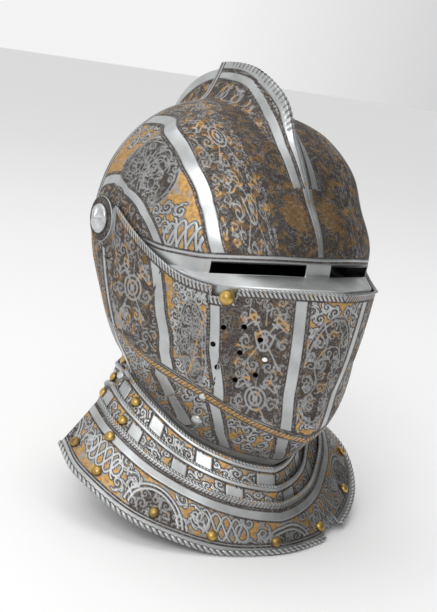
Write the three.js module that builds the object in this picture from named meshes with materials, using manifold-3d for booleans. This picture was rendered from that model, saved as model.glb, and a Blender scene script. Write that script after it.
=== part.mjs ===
// A sixteenth-century close helmet: skull, visor, upper and lower bevor turning on one pair of
// pivots, and a gorget of narrow lames and a wide bottom plate in front and behind.
// Millimetres, +Z up, the face looks along -Y and the wearer's right is -X.
// The shells are first worked out about the pivot axis, which runs along X through the pivots.
import * as THREE from 'three';
import { mergeVertices } from 'three/addons/utils/BufferGeometryUtils.js';
import Module from 'manifold-3d';

const wasm = await Module();
wasm.setup();

const DEG = Math.PI / 180;

// Driving dimensions
const WALL = 1.5;                 // thickness of the beaten plates
const PLAY = 0.5;                 // clearance between two plates that slide on each other
const PIVOT_HALF_WIDTH = 98;      // outside of the upper bevor's arms at the pivots
const LAYER = WALL + PLAY;        // step from one plate to the next at the pivots
const PIVOT_HEIGHT = 201.8;        // pivot axis above the surface the helmet stands on
const PIVOT_FLAT = 13;            // radius of the flat on each plate about the pivots
const ARM_RADIUS = 16;            // round ends of the plates about the pivots
const PIVOT_HOLE = 3.4;           // radius of the pivot holes
const PIVOT_SHANK = 3.0;          // radius of the pivot shanks
const ROSETTE = { radius: 10.4, rise: 4.6, washer: 6, gap: 0.3 };
const SEAT = 0.3;                 // gap under rivet heads and other seated pieces

const STEEL = { color: 0xa9abac, roughness: 0.42, metalness: 1.0 };
const ETCHED = { color: 0x857d74, roughness: 0.5, metalness: 1.0 };
const BRASS = { color: 0xc49a3c, roughness: 0.35, metalness: 1.0 };

// Forms: reach from the pivot axis to the median at an angle about it (0 front, 90 top, 180 back),
// keel: how sharply the two halves meet at the median, full: 2 is an ellipse, more is squarer
const BEVOR_FORM = {
  half: PIVOT_HALF_WIDTH,
  rows: [
    { angle: -180, reach: 115, keel: 0.0, full: 2.0 },
    { angle: -130, reach: 122, keel: 0.0, full: 2.0 },
    { angle: -95, reach: 137, keel: 0.0, full: 2.0 },
    { angle: -70, reach: 172, keel: 0.03, full: 2.1 },
    { angle: -52, reach: 189, keel: 0.12, full: 2.2 },
    { angle: -41, reach: 187, keel: 0.17, full: 2.18 },
    { angle: -30.4, reach: 172, keel: 0.17, full: 2.18 },
    { angle: -5, reach: 158.2, keel: 0.16, full: 2.25 },
    { angle: 40, reach: 158, keel: 0.15, full: 2.3 },
    { angle: 180, reach: 115, keel: 0.0, full: 2.0 },
  ],
};
const SHELF_FORM = {
  half: PIVOT_HALF_WIDTH - LAYER,
  rows: [
    { angle: -180, reach: 155.5, keel: 0.17, full: 2.2 },
    { angle: 180, reach: 155.5, keel: 0.17, full: 2.2 },
  ],
};
const VISOR_FORM = {
  half: PIVOT_HALF_WIDTH - LAYER,
  rows: [
    { angle: -180, reach: 108, keel: 0.0, full: 2.2 },
    { angle: -20, reach: 128, keel: 0.05, full: 2.5 },
    { angle: 0, reach: 127, keel: 0.05, full: 2.5 },
    { angle: 20, reach: 111, keel: 0.03, full: 2.5 },
    { angle: 40, reach: 103, keel: 0.0, full: 2.7 },
    { angle: 60, reach: 97, keel: 0.0, full: 2.75 },
    { angle: 80, reach: 94, keel: 0.0, full: 2.12 },
    { angle: 105, reach: 93, keel: 0.0, full: 2.02 },
    { angle: 180, reach: 93, keel: 0.0, full: 2.02 },
  ],
  crest: [
    { angle: -180, height: 0 },
    { angle: 0, height: 0 },
    { angle: 20, height: 1 },
    { angle: 40, height: 5.5 },
    { angle: 59, height: 21.2 },
    { angle: 70, height: 24.5 },
    { angle: 81, height: 26.7 },
    { angle: 110, height: 28 },
    { angle: 150, height: 0 },
    { angle: 180, height: 0 },
  ],
  comb: { base: 18, top: 1.5 },
};
const SKULL_FORM = {
  half: PIVOT_HALF_WIDTH - 3 * LAYER,
  rows: [
    { angle: -180, reach: 90, keel: 0.0, full: 2.0 },
    { angle: -150, reach: 98, keel: 0.0, full: 2.0 },
    { angle: -125, reach: 101, keel: 0.0, full: 2.0 },
    { angle: -95, reach: 118, keel: 0.0, full: 2.0 },
    { angle: -75, reach: 130, keel: 0.0, full: 2.0 },
    { angle: -60, reach: 130, keel: 0.0, full: 2.0 },
    { angle: 0, reach: 96, keel: 0.0, full: 2.0 },
    { angle: 40, reach: 89.5, keel: 0.0, full: 2.0 },
    { angle: 145, reach: 89.5, keel: 0.0, full: 2.0 },
    { angle: 180, reach: 90, keel: 0.0, full: 2.0 },
  ],
  crest: [
    { angle: -180, height: 0 },
    { angle: 90, height: 0 },
    { angle: 99, height: 27.5 },
    { angle: 118, height: 27.5 },
    { angle: 130, height: 26 },
    { angle: 145, height: 18 },
    { angle: 160, height: 6 },
    { angle: 170, height: 0 },
    { angle: 180, height: 0 },
  ],
  comb: { base: 15.3, top: 0.4 },
};
const COMB_HOLLOW = 1.8;          // how hollow the comb's flanks are

// Side-view outlines, as [y, z] points from the pivots
const VISOR_REAR = [[16, 0], [20, 40], [22, 150]];
const SHELF_TOP = [[0, -11], [-66, -17], [-94, -16], [-127, -9.6], [-175, -16]];
const BEVOR_TOP = [[-175, -11.4], [-157, -14.2], [-143, -16], [-110, -22], [-88, -20], [-62, -9], [-20, 12]];
const BEVOR_FOOT = [[-160, -136], [-141.9, -121.8], [-100, -99], [-50, -83], [-8, -68]];
const BEVOR_REAR = [[-1, -50], [9, -28]];
const CHIN_REAR = [[8, -150], [9, -60]];
const SKULL_FRONT = [[-92, 100], [-72, 58], [-40, 20], [-20, -6], [-16, -40], [-14, -150]];
const SKIRT_DEPTH = 16;           // how far the visor goes down behind the bevor
const LAP = 12;                   // how far the lower bevor goes up behind the upper one
const SIGHT = { inner: 10.2, outer: 68, front: -127, back: -94, top_front: -2.4, top_back: -9, height: 7 };
const NOTCH = { x: -64.5, width: 13, depth: 6.7 };
const PEG = { x: -59.5, z: -24.2, shank: 2.1, ball: 5.2, reach: 5.5 };

// Breaths in the right half of the upper bevor, by width and height from the pivots
const BREATH_RADIUS = 1.9;
const BREATHS = [
  { x: -61.5, z: -47.1 }, { x: -52.7, z: -44.3 }, { x: -43.6, z: -51 },
  { x: -63.8, z: -60 }, { x: -51.3, z: -62 }, { x: -38.6, z: -64.3 },
  { x: -59.7, z: -75.3 }, { x: -40.9, z: -75.6 }, { x: -50.1, z: -81.5 },
];
const CATCH_STUD = { x: -60.6, z: -98.6, radius: 2.6, rise: 1.8 };
const CATCH_BUTTON = { x: -54.5, z: -118.9, radius: 4.2, rise: 3.4 };

// Gorget: places round the neck, azimuth 0 front, 90 side, 180 back
const GORGET_CENTRE = -10;        // y of the neck's middle
const NECK = [
  { angle: 0, height: -149 },
  { angle: 30, height: -141 },
  { angle: 60, height: -121 },
  { angle: 90, height: -104 },
  { angle: 130, height: -94 },
  { angle: 180, height: -90 },
];
const NECK_LAP = 4;               // the skull and the lower bevor reach this far into their flanges
const NECK_CORE = { radius: 20, top: -60 };   // open middle of the neck
const FRONT_RIM = [
  { angle: 0, height: -205.6, reach: 127 },
  { angle: 14, height: -205.2, reach: 126 },
  { angle: 45, height: -193, reach: 126.5 },
  { angle: 70, height: -174, reach: 123.5 },
  { angle: 89, height: -162.5, reach: 114 },
];
const REAR_RIM = [
  { angle: 84, height: -156, reach: 80 },
  { angle: 110, height: -168, reach: 76 },
  { angle: 142, height: -203.4, reach: 86 },
  { angle: 180, height: -203.6, reach: 100 },
];
const GORGET_WALL = 1.4;
const GORGET_STEP = 2.2;          // each lower plate lies this much further out
const LAMES = [
  { name: 'lame_1', from: 0.03, to: 0.3, bead: 0 },
  { name: 'lame_2', from: 0.25, to: 0.5, bead: 0 },
  { name: 'gorget_plate', from: 0.44, to: 1.0, bead: 1.1 },
];
const FLANGE = { from: 0, to: 0.16, bead: 0 };   // turned-out edge of the skull and the lower bevor
const FRONT_ARC = 85;             // azimuth where the front plates end
const REAR_ARC = 86.5;             // azimuth where the rear plates begin
const RIVET = { radius: 3.8, rise: 3.2, seat: 0.9 };
const FRONT_RIM_RIVETS = [-79, -65, -43, -24, -3, 18, 43, 63, 79];
const REAR_RIM_RIVETS = [105, 130, 155, 180, 205, 230, 255];
const LAME_RIVETS = [{ side: 'right', angle: -68 }, { side: 'left', angle: 68 }];
const LAME_RIVET_DROP = 0.13;     // share of the gorget from a lame's upper edge to its rivet
const RIM_RIVET_SHARE = 0.86;     // share of the gorget from the neck to the rim rivets
const TURNING_PIN = { angle: -80, share: 0.09, shank: 1.6, head: 3, length: 8.8 };
const BREAK = { angle: 24, width: 22, depth: 5, tilt: 20 };   // piece broken out of the front rim

// Facets of a full form: steps about the pivot axis, and widths of the columns as shares of the
// half-width, closer together where a comb stands
const HEAD_SIDES = 7;             // sides of rivet and stud heads
const ROUND_SIDES = 12;           // sides of the rosettes and the peg
const LAME_STEPS = 22;            // facets along a lame
const SMOOTHING = 0.12;           // facets may be merged within this distance
const ANGLE_STEPS = 40;
const PLAIN_WIDTHS = [0.1, 0.25, 0.42, 0.6, 0.76, 0.88, 0.96, 1];
const COMBED_WIDTHS = [0.016, 0.05, 0.1, 0.16, 0.3, 0.48, 0.66, 0.82, 0.94, 1];

// Reads one column of a table at an angle, easing smoothly from row to row
function column(rows, angle, name) {
  let next = rows.findIndex((row) => row.angle > angle);
  if (next === -1) next = rows.length - 1;
  if (next === 0) return rows[0][name];
  const before = rows[next - 1];
  const after = rows[next];
  const share = Math.min((angle - before.angle) / (after.angle - before.angle), 1);
  const ease = share * share * (3 - 2 * share);
  const mixed = 0.5 * ease + 0.5 * share;
  return before[name] + (after[name] - before[name]) * mixed;
}

// Distance of a form's surface from the pivot axis at an angle and a width: a squared ellipse
// from the median to the pivot, drawn in beside the keel, with a comb of hollow flanks on it
function formRadius(form, angle, x, inset) {
  const full = column(form.rows, angle, 'full');
  const sine = Math.min(Math.abs(x) / (form.half - inset), 1) ** (full / 2);
  const cosine = Math.sqrt(1 - sine * sine);
  const keel = column(form.rows, angle, 'keel');
  const reach = column(form.rows, angle, 'reach') - inset;
  const radius = reach * (cosine ** (2 / full) - keel * sine * cosine * cosine);
  if (!form.comb) return radius;
  const rise = (form.comb.base - Math.abs(x) - inset) / (form.comb.base - form.comb.top);
  const height = column(form.crest, angle, 'height');
  return radius + height * THREE.MathUtils.clamp(rise, 0, 1) ** COMB_HOLLOW;
}

// Makes a solid from points and triangles
function solidFrom(points, triangles) {
  const vertProperties = new Float32Array(points.flat());
  const triVerts = new Uint32Array(triangles.flat());
  return new wasm.Manifold(new wasm.Mesh({ numProp: 3, vertProperties, triVerts }));
}

// Makes a solid from one of the standard closed geometries
function solidOf(geometry) {
  const bare = geometry.index ? geometry.toNonIndexed() : geometry.clone();
  bare.deleteAttribute('normal');
  bare.deleteAttribute('uv');
  const merged = mergeVertices(bare, 1e-4);
  const index = Array.from(merged.index.array);
  const keep = [];
  for (let i = 0; i < index.length; i += 3) {
    const [a, b, c] = index.slice(i, i + 3);
    if (a !== b && b !== c && a !== c) keep.push([a, b, c]);
  }
  const vertProperties = new Float32Array(merged.attributes.position.array);
  const triVerts = new Uint32Array(keep.flat());
  return new wasm.Manifold(new wasm.Mesh({ numProp: 3, vertProperties, triVerts }));
}

// The whole closed form, all round the pivot axis, pulled in by an inset
function formSolid(form, inset) {
  const points = [];
  const half = form.comb ? COMBED_WIDTHS : PLAIN_WIDTHS;
  const widths = [...half.map((share) => -share).reverse(), 0, ...half];
  const columns = widths.length;
  for (let i = 0; i < ANGLE_STEPS; i += 1) {
    const angle = -180 + (360 * i) / ANGLE_STEPS;
    for (const share of widths) {
      const x = share * (form.half - inset);
      const radius = Math.max(formRadius(form, angle, x, inset), PIVOT_FLAT);
      points.push([x, -radius * Math.cos(angle * DEG), radius * Math.sin(angle * DEG)]);
    }
  }
  const right = points.push([inset - form.half, 0, 0]) - 1;
  const left = points.push([form.half - inset, 0, 0]) - 1;
  const triangles = [];
  for (let i = 0; i < ANGLE_STEPS; i += 1) {
    const here = i * columns;
    const next = ((i + 1) % ANGLE_STEPS) * columns;
    for (let j = 0; j < columns - 1; j += 1) {
      triangles.push([here + j, here + j + 1, next + j + 1], [here + j, next + j + 1, next + j]);
    }
    triangles.push([right, here, next], [left, next + columns - 1, here + columns - 1]);
  }
  return solidFrom(points, triangles);
}

// A prism along X with an outline given in side view
function sidePrism(outline, from = -200, to = 200) {
  const shape = new THREE.Shape(outline.map(([y, z]) => new THREE.Vector2(y, z)));
  const geometry = new THREE.ExtrudeGeometry(shape, { depth: to - from, bevelEnabled: false });
  const basis = new THREE.Matrix4().makeBasis(
    new THREE.Vector3(0, 1, 0), new THREE.Vector3(0, 0, 1), new THREE.Vector3(1, 0, 0),
  );
  basis.setPosition(from, 0, 0);
  return solidOf(geometry.applyMatrix4(basis));
}

// A round bar along a direction
function bar(centre, direction, radius, length, sides = 12) {
  const geometry = new THREE.CylinderGeometry(radius, radius, length, sides);
  const turn = new THREE.Quaternion().setFromUnitVectors(new THREE.Vector3(0, 1, 0), direction);
  return solidOf(geometry.applyQuaternion(turn).translate(...centre));
}

// Points of an arc about the pivots in side view, angles counted from the front over the top
function arc(radius, from, to, steps) {
  const points = [];
  for (let i = 0; i <= steps; i += 1) {
    const angle = (from + ((to - from) * i) / steps) * DEG;
    points.push([-radius * Math.cos(angle), radius * Math.sin(angle)]);
  }
  return points;
}

// The same outline shifted in height
function shifted(outline, rise) {
  return outline.map(([y, z]) => [y, z + rise]);
}

const ACROSS = new THREE.Vector3(1, 0, 0);
const pivotBore = bar([0, 0, 0], ACROSS, PIVOT_HOLE, 300, 16);

// A plate: the wall between two insets of a form, cut to a side-view outline and bored
function plate(outer, inner, outline) {
  return outer.subtract(inner).intersect(sidePrism(outline)).subtract(pivotBore);
}

// Solid below the neck line, which trims the skull and the lower bevor
function belowNeck() {
  const steps = 48;
  const reach = 300;
  const floor = -400;
  const points = [[0, GORGET_CENTRE, NECK_CORE.top], [0, GORGET_CENTRE, floor]];
  for (let i = 0; i < steps; i += 1) {
    const azimuth = (360 * i) / steps;
    const height = column(NECK, azimuth > 180 ? 360 - azimuth : azimuth, 'height') - NECK_LAP;
    const side = Math.sin(azimuth * DEG);
    const ahead = Math.cos(azimuth * DEG);
    points.push([NECK_CORE.radius * side, GORGET_CENTRE - NECK_CORE.radius * ahead, height]);
    points.push([reach * side, GORGET_CENTRE - reach * ahead, height]);
    points.push([reach * side, GORGET_CENTRE - reach * ahead, floor]);
  }
  const triangles = [];
  for (let i = 0; i < steps; i += 1) {
    const a = 2 + 3 * i;
    const b = 2 + 3 * ((i + 1) % steps);
    triangles.push([0, a, b], [a, a + 1, b + 1], [a, b + 1, b]);
    triangles.push([a + 1, a + 2, b + 2], [a + 1, b + 2, b + 1], [1, b + 2, a + 2]);
  }
  return solidFrom(points, triangles);
}

// The slanted slots of the two sights
function sightSlots() {
  const slope = (SIGHT.top_front - SIGHT.top_back) / (SIGHT.front - SIGHT.back);
  const top = (y) => SIGHT.top_front + slope * (y - SIGHT.front);
  const outline = [
    [-160, top(-160) - SIGHT.height], [-40, top(-40) - SIGHT.height], [-40, top(-40)], [-160, top(-160)],
  ];
  return sidePrism(outline, SIGHT.inner, SIGHT.outer).add(sidePrism(outline, -SIGHT.outer, -SIGHT.inner));
}

function visorSolid() {
  const below = (drop) => sidePrism([...shifted(SHELF_TOP, -drop), [-175, -260], [0, -260]]);
  const body = (inset) => formSolid(VISOR_FORM, inset)
    .add(formSolid(SHELF_FORM, inset).intersect(below(inset)));
  const skirt = shifted(BEVOR_TOP, -SKIRT_DEPTH).filter(([y]) => y < -40);
  const outline = [
    ...skirt, [-22, -14], ...arc(ARM_RADIUS, -50, -175, 8), ...VISOR_REAR, [-175, 150],
  ];
  return plate(body(0), body(WALL), outline).subtract(sightSlots());
}

function skullSolid() {
  const outline = [...SKULL_FRONT, [160, -150], [160, 150], [-92, 150]];
  return plate(formSolid(SKULL_FORM, 0), formSolid(SKULL_FORM, WALL), outline)
    .subtract(belowNeck())
    .add(lameSolid(FLANGE, -1, REAR_ARC + 4, 356 - REAR_ARC));
}

// Where a drill along a level direction meets the bevor's surface
function bevorPoint(x, z, form, inset) {
  let near = 0;
  let far = 220;
  for (let i = 0; i < 40; i += 1) {
    const y = (near + far) / 2;
    const radius = formRadius(form, Math.atan2(z, y) / DEG, x, inset);
    if (Math.hypot(y, z) < radius) near = y;
    else far = y;
  }
  return new THREE.Vector3(x, -near, z);
}

// Outward direction of the bevor's surface at a width and a height
function bevorNormal(x, z, form, inset) {
  const step = 1.5;
  const across = bevorPoint(x + step, z, form, inset).sub(bevorPoint(x - step, z, form, inset));
  const up = bevorPoint(x, z + step, form, inset).sub(bevorPoint(x, z - step, form, inset));
  return across.cross(up).normalize();
}

function notchSolid() {
  const top = BEVOR_TOP[3][1];
  const seat = bevorPoint(NOTCH.x, top, BEVOR_FORM, 0);
  const out = bevorNormal(NOTCH.x, top, BEVOR_FORM, 0);
  const geometry = new THREE.BoxGeometry(NOTCH.width, 30, 2 * NOTCH.depth);
  geometry.rotateZ(Math.atan2(out.y, out.x) + Math.PI / 2);
  return solidOf(geometry.translate(seat.x, seat.y, seat.z));
}

function upperBevorSolid() {
  const outline = [
    ...BEVOR_TOP, ...arc(ARM_RADIUS, 40, 180, 10), ...[...BEVOR_REAR].reverse(), ...[...BEVOR_FOOT].reverse(),
  ];
  let solid = plate(formSolid(BEVOR_FORM, 0), formSolid(BEVOR_FORM, WALL), outline).subtract(notchSolid());
  for (const { x, z } of BREATHS) {
    const place = bevorPoint(x, z, BEVOR_FORM, 0);
    solid = solid.subtract(bar(place.toArray(), bevorNormal(x, z, BEVOR_FORM, 0), BREATH_RADIUS, 12, 8));
  }
  return solid;
}

const CHIN_FORM = {
  half: PIVOT_HALF_WIDTH - 2 * LAYER,
  rows: BEVOR_FORM.rows.map((row) => ({ ...row, reach: row.reach - LAYER })),
};

function lowerBevorSolid() {
  const lap = shifted(BEVOR_FOOT, LAP).filter(([y]) => y < -40);
  const outline = [
    [-175, -190], ...CHIN_REAR, ...arc(PIVOT_FLAT, 170, -10, 10), [-18, -44], ...[...lap].reverse(),
    [-175, lap[0][1]],
  ];
  return plate(formSolid(CHIN_FORM, 0), formSolid(CHIN_FORM, WALL), outline)
    .subtract(belowNeck())
    .add(lameSolid(FLANGE, -1, -FRONT_ARC, FRONT_ARC));
}

// A point of the neck line, on the surface of the plate that ends there
function neckReach(azimuth, form) {
  const height = column(NECK, Math.abs(azimuth), 'height');
  let near = 20;
  let far = 200;
  for (let i = 0; i < 40; i += 1) {
    const reach = (near + far) / 2;
    const x = reach * Math.sin(azimuth * DEG);
    const y = GORGET_CENTRE - reach * Math.cos(azimuth * DEG);
    const radius = formRadius(form, Math.atan2(height, -y) / DEG, x, 0);
    if (Math.abs(x) < form.half && Math.hypot(y, height) < radius) near = reach;
    else far = reach;
  }
  return near;
}

// A point of the gorget: share 0 at the neck, 1 at the rim, lifted out along its own normal
function gorgetPoint(azimuth, share, lift) {
  const turn = Math.abs(azimuth > 180 ? 360 - azimuth : azimuth);
  const front = turn < (FRONT_ARC + REAR_ARC) / 2;
  const rim = front ? FRONT_RIM : REAR_RIM;
  const neck = neckReach(turn, front ? CHIN_FORM : SKULL_FORM);
  const top = column(NECK, turn, 'height');
  const flare = (s) => s ** 1.2;
  const at = (s) => [
    neck + (column(rim, turn, 'reach') - neck) * flare(s), top + (column(rim, turn, 'height') - top) * s,
  ];
  const [reach, height] = at(share);
  const [reachNext, heightNext] = at(share + 0.01);
  const length = Math.hypot(reachNext - reach, heightNext - height);
  const out = reach + (lift * (height - heightNext)) / length;
  const up = height + (lift * (reachNext - reach)) / length;
  return [out * Math.sin(azimuth * DEG), GORGET_CENTRE - out * Math.cos(azimuth * DEG), up];
}

// A closed wall between two grids of points, outer and inner, of the same size
function wallSolid(outer, inner) {
  const rows = outer.length;
  const columns = outer[0].length;
  const points = [...outer.flat(), ...inner.flat()];
  const skin = rows * columns;
  const at = (i, j) => i * columns + j;
  const triangles = [];
  const quad = (a, b, c, d) => triangles.push([a, c, b], [a, d, c]);
  for (let i = 0; i < rows - 1; i += 1) {
    for (let j = 0; j < columns - 1; j += 1) {
      quad(at(i, j), at(i + 1, j), at(i + 1, j + 1), at(i, j + 1));
      quad(skin + at(i, j), skin + at(i, j + 1), skin + at(i + 1, j + 1), skin + at(i + 1, j));
    }
    quad(at(i, 0), skin + at(i, 0), skin + at(i + 1, 0), at(i + 1, 0));
    const last = columns - 1;
    quad(at(i, last), at(i + 1, last), skin + at(i + 1, last), skin + at(i, last));
  }
  for (let j = 0; j < columns - 1; j += 1) {
    quad(at(0, j), at(0, j + 1), skin + at(0, j + 1), skin + at(0, j));
    const end = rows - 1;
    quad(at(end, j), skin + at(end, j), skin + at(end, j + 1), at(end, j + 1));
  }
  return solidFrom(points, triangles);
}

// One lame or bottom plate between two azimuths; a bead thickens the bottom plate's rim
function lameSolid(lame, layer, from, to) {
  const rows = lame.bead ? [0, 0.35, 0.7, 0.93, 0.96, 1] : [0, 0.5, 1];
  const grid = (inside) => {
    const points = [];
    for (let i = 0; i <= LAME_STEPS; i += 1) {
      const azimuth = from + ((to - from) * i) / LAME_STEPS;
      points.push(rows.map((row) => {
        const share = lame.from + (lame.to - lame.from) * row;
        const bead = row > 0.95 ? lame.bead : 0;
        const lift = GORGET_STEP * (layer + 1) + (inside ? -GORGET_WALL - bead : bead);
        return gorgetPoint(azimuth, share, lift);
      }));
    }
    return points;
  };
  const solid = wallSolid(grid(false), grid(true));
  return solid.subtract(sidePrism([[-300, -300], [300, -300], [300, -PIVOT_HEIGHT], [-300, -PIVOT_HEIGHT]]));
}

// The piece broken out of the front rim
function breakSolid() {
  const [x, y, z] = gorgetPoint(BREAK.angle, 1, 3);
  const geometry = new THREE.BoxGeometry(BREAK.width, 40, 2 * BREAK.depth);
  geometry.rotateY(-BREAK.tilt * DEG);
  geometry.rotateZ(BREAK.angle * DEG);
  return solidOf(geometry.translate(x, y, z));
}

// A mesh of a solid, with its material
function meshOf(name, solid, look) {
  const mesh = solid.simplify(SMOOTHING).getMesh();
  const geometry = new THREE.BufferGeometry();
  const positions = new Float32Array(mesh.numVert * 3);
  for (let i = 0; i < mesh.numVert; i += 1) {
    positions.set(mesh.vertProperties.slice(i * mesh.numProp, i * mesh.numProp + 3), 3 * i);
  }
  geometry.setAttribute('position', new THREE.BufferAttribute(positions, 3));
  geometry.setIndex(new THREE.BufferAttribute(new Uint32Array(mesh.triVerts), 1));
  geometry.computeVertexNormals();
  const result = new THREE.Mesh(geometry, new THREE.MeshStandardMaterial(look));
  result.name = name;
  return result;
}

// A turned piece whose profile is [radius, height] pairs, stood on a seat along a direction
function turnedMesh(name, profile, sides, seat, direction, look) {
  const geometry = new THREE.LatheGeometry(profile.map(([r, h]) => new THREE.Vector2(r, h)), sides);
  const mesh = new THREE.Mesh(solidGeometry(geometry), new THREE.MeshStandardMaterial(look));
  mesh.name = name;
  mesh.quaternion.setFromUnitVectors(new THREE.Vector3(0, 1, 0), direction);
  mesh.position.copy(seat);
  return mesh;
}

// The closed geometry of a turned profile, with shared corners merged
function solidGeometry(geometry) {
  return meshOf('turned', solidOf(geometry), STEEL).geometry;
}

// The profile of a domed head
function domeProfile(radius, rise) {
  return [[0, 0], [radius, 0], [radius * 0.82, rise * 0.62], [radius * 0.45, rise * 0.93], [0, rise]];
}

function pivotRosette(name, side) {
  const inside = SKULL_FORM.half - WALL - ROSETTE.gap;
  const seat = PIVOT_HALF_WIDTH + ROSETTE.gap;
  const profile = [
    [0, inside - 2], [ROSETTE.washer, inside - 2], [ROSETTE.washer, inside], [PIVOT_SHANK, inside],
    [PIVOT_SHANK, seat], [ROSETTE.radius, seat], [ROSETTE.radius, seat + 0.8],
    [0.75 * ROSETTE.radius, seat + 0.66 * ROSETTE.rise], [0.4 * ROSETTE.radius, seat + 0.92 * ROSETTE.rise],
    [0, seat + ROSETTE.rise],
  ];
  return turnedMesh(name, profile, ROUND_SIDES, new THREE.Vector3(), new THREE.Vector3(side, 0, 0), STEEL);
}

function liftingPeg() {
  const seat = bevorPoint(PEG.x, PEG.z, SHELF_FORM, 0);
  const out = bevorNormal(PEG.x, PEG.z, SHELF_FORM, 0);
  const ball = [];
  const centre = PEG.reach + PEG.ball;
  for (let i = 0; i <= 6; i += 1) {
    const turn = (-65 + (155 * i) / 6) * DEG;
    ball.push([PEG.ball * Math.cos(turn), centre + PEG.ball * Math.sin(turn)]);
  }
  ball[6][0] = 0;
  const profile = [[0, 0], [PEG.shank, 0], ...ball];
  return turnedMesh('lifting_peg', profile, ROUND_SIDES, seat.addScaledVector(out, SEAT), out, BRASS);
}

// A small domed head on the upper or lower bevor
function studOn(name, head, form) {
  const out = bevorNormal(head.x, head.z, form, 0);
  const seat = bevorPoint(head.x, head.z, form, 0).addScaledVector(out, SEAT);
  return turnedMesh(name, domeProfile(head.radius, head.rise), HEAD_SIDES, seat, out, STEEL);
}

// A rivet on the gorget, on the plate of one layer
function gorgetRivet(name, azimuth, share, layer) {
  const lift = GORGET_STEP * (layer + 1);
  const seat = new THREE.Vector3(...gorgetPoint(azimuth, share, lift + RIVET.seat));
  const out = new THREE.Vector3(...gorgetPoint(azimuth, share, lift + RIVET.seat + 1)).sub(seat).normalize();
  return turnedMesh(name, domeProfile(RIVET.radius, RIVET.rise), HEAD_SIDES, seat, out, BRASS);
}

// The turning pin that closes the neck on the right: a short shank with a flat head
function turningPin() {
  const { angle, share, shank, head, length } = TURNING_PIN;
  const seat = new THREE.Vector3(...gorgetPoint(angle, share, GORGET_STEP + SEAT));
  const out = new THREE.Vector3(...gorgetPoint(angle, share, GORGET_STEP + SEAT + 1)).sub(seat).normalize();
  const profile = [
    [0, 0], [shank, 0], [shank, 0.7 * length], [head, 0.75 * length], [head, 0.92 * length], [0, length],
  ];
  return turnedMesh('neck_turning_pin', profile, HEAD_SIDES, seat, out, STEEL);
}

const helmet = new THREE.Group();
helmet.add(meshOf('skull', skullSolid(), ETCHED));
helmet.add(meshOf('lower_bevor', lowerBevorSolid(), ETCHED));
helmet.add(meshOf('upper_bevor', upperBevorSolid(), ETCHED));
helmet.add(meshOf('visor', visorSolid(), ETCHED));
LAMES.forEach((lame, layer) => {
  let front = lameSolid(lame, layer, -FRONT_ARC, FRONT_ARC);
  if (lame.bead) front = front.subtract(breakSolid());
  helmet.add(meshOf(`front_${lame.name}`, front, ETCHED));
  helmet.add(meshOf(`rear_${lame.name}`, lameSolid(lame, layer, REAR_ARC, 360 - REAR_ARC), ETCHED));
});
helmet.add(pivotRosette('pivot_rosette_right', -1));
helmet.add(pivotRosette('pivot_rosette_left', 1));
helmet.add(liftingPeg());
helmet.add(studOn('catch_stud', CATCH_STUD, BEVOR_FORM));
helmet.add(studOn('catch_button', CATCH_BUTTON, CHIN_FORM));
helmet.add(turningPin());
const rimLayer = LAMES.length - 1;
FRONT_RIM_RIVETS.forEach((azimuth, i) => {
  helmet.add(gorgetRivet(`front_rim_rivet_${i + 1}`, azimuth, RIM_RIVET_SHARE, rimLayer));
});
REAR_RIM_RIVETS.forEach((azimuth, i) => {
  helmet.add(gorgetRivet(`rear_rim_rivet_${i + 1}`, azimuth, RIM_RIVET_SHARE, rimLayer));
});
for (const { side, angle } of LAME_RIVETS) {
  LAMES.forEach((lame, layer) => {
    const share = lame.from + LAME_RIVET_DROP;
    helmet.add(gorgetRivet(`front_lame_rivet_${side}_${layer + 1}`, angle, share, layer));
    helmet.add(gorgetRivet(`rear_lame_rivet_${side}_${layer + 1}`, 180 - angle, share, layer));
  });
}

// Stands the helmet on its rim, with the origin under the middle of its box
helmet.updateMatrixWorld(true);
const box = new THREE.Box3().setFromObject(helmet, true);
helmet.position.set(-(box.min.x + box.max.x) / 2, -(box.min.y + box.max.y) / 2, -box.min.z);
helmet.updateMatrixWorld(true);

export default helmet;
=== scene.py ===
import bpy
import numpy as np
from mathutils import Matrix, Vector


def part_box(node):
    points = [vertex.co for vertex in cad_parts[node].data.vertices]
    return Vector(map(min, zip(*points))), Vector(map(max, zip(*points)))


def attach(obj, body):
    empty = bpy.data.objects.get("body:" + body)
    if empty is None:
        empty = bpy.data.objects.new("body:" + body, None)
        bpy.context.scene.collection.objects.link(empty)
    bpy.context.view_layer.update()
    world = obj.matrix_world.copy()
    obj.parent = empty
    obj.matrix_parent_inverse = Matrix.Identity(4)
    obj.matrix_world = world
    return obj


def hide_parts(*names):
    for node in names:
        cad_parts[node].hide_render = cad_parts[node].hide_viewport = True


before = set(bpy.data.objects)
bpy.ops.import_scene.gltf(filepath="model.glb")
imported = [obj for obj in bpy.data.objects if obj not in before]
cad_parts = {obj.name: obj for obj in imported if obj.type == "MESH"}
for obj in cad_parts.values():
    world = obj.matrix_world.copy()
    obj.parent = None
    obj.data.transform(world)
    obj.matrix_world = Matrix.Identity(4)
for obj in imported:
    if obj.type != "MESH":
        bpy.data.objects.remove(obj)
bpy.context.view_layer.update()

# Sizes in millimetres about the pivot axis: the face looks along -Y, the wearer's right is -X
MM = 0.001
WALL = 1.5
LAYER = 2.0
HALF = 98.0
ARM_RADIUS = 16.0
pivot_low, pivot_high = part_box("pivot_rosette_right")
PIVOT = np.array([0.0, (pivot_low[1] + pivot_high[1]) / 2, (pivot_low[2] + pivot_high[2]) / 2]) / MM

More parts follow.
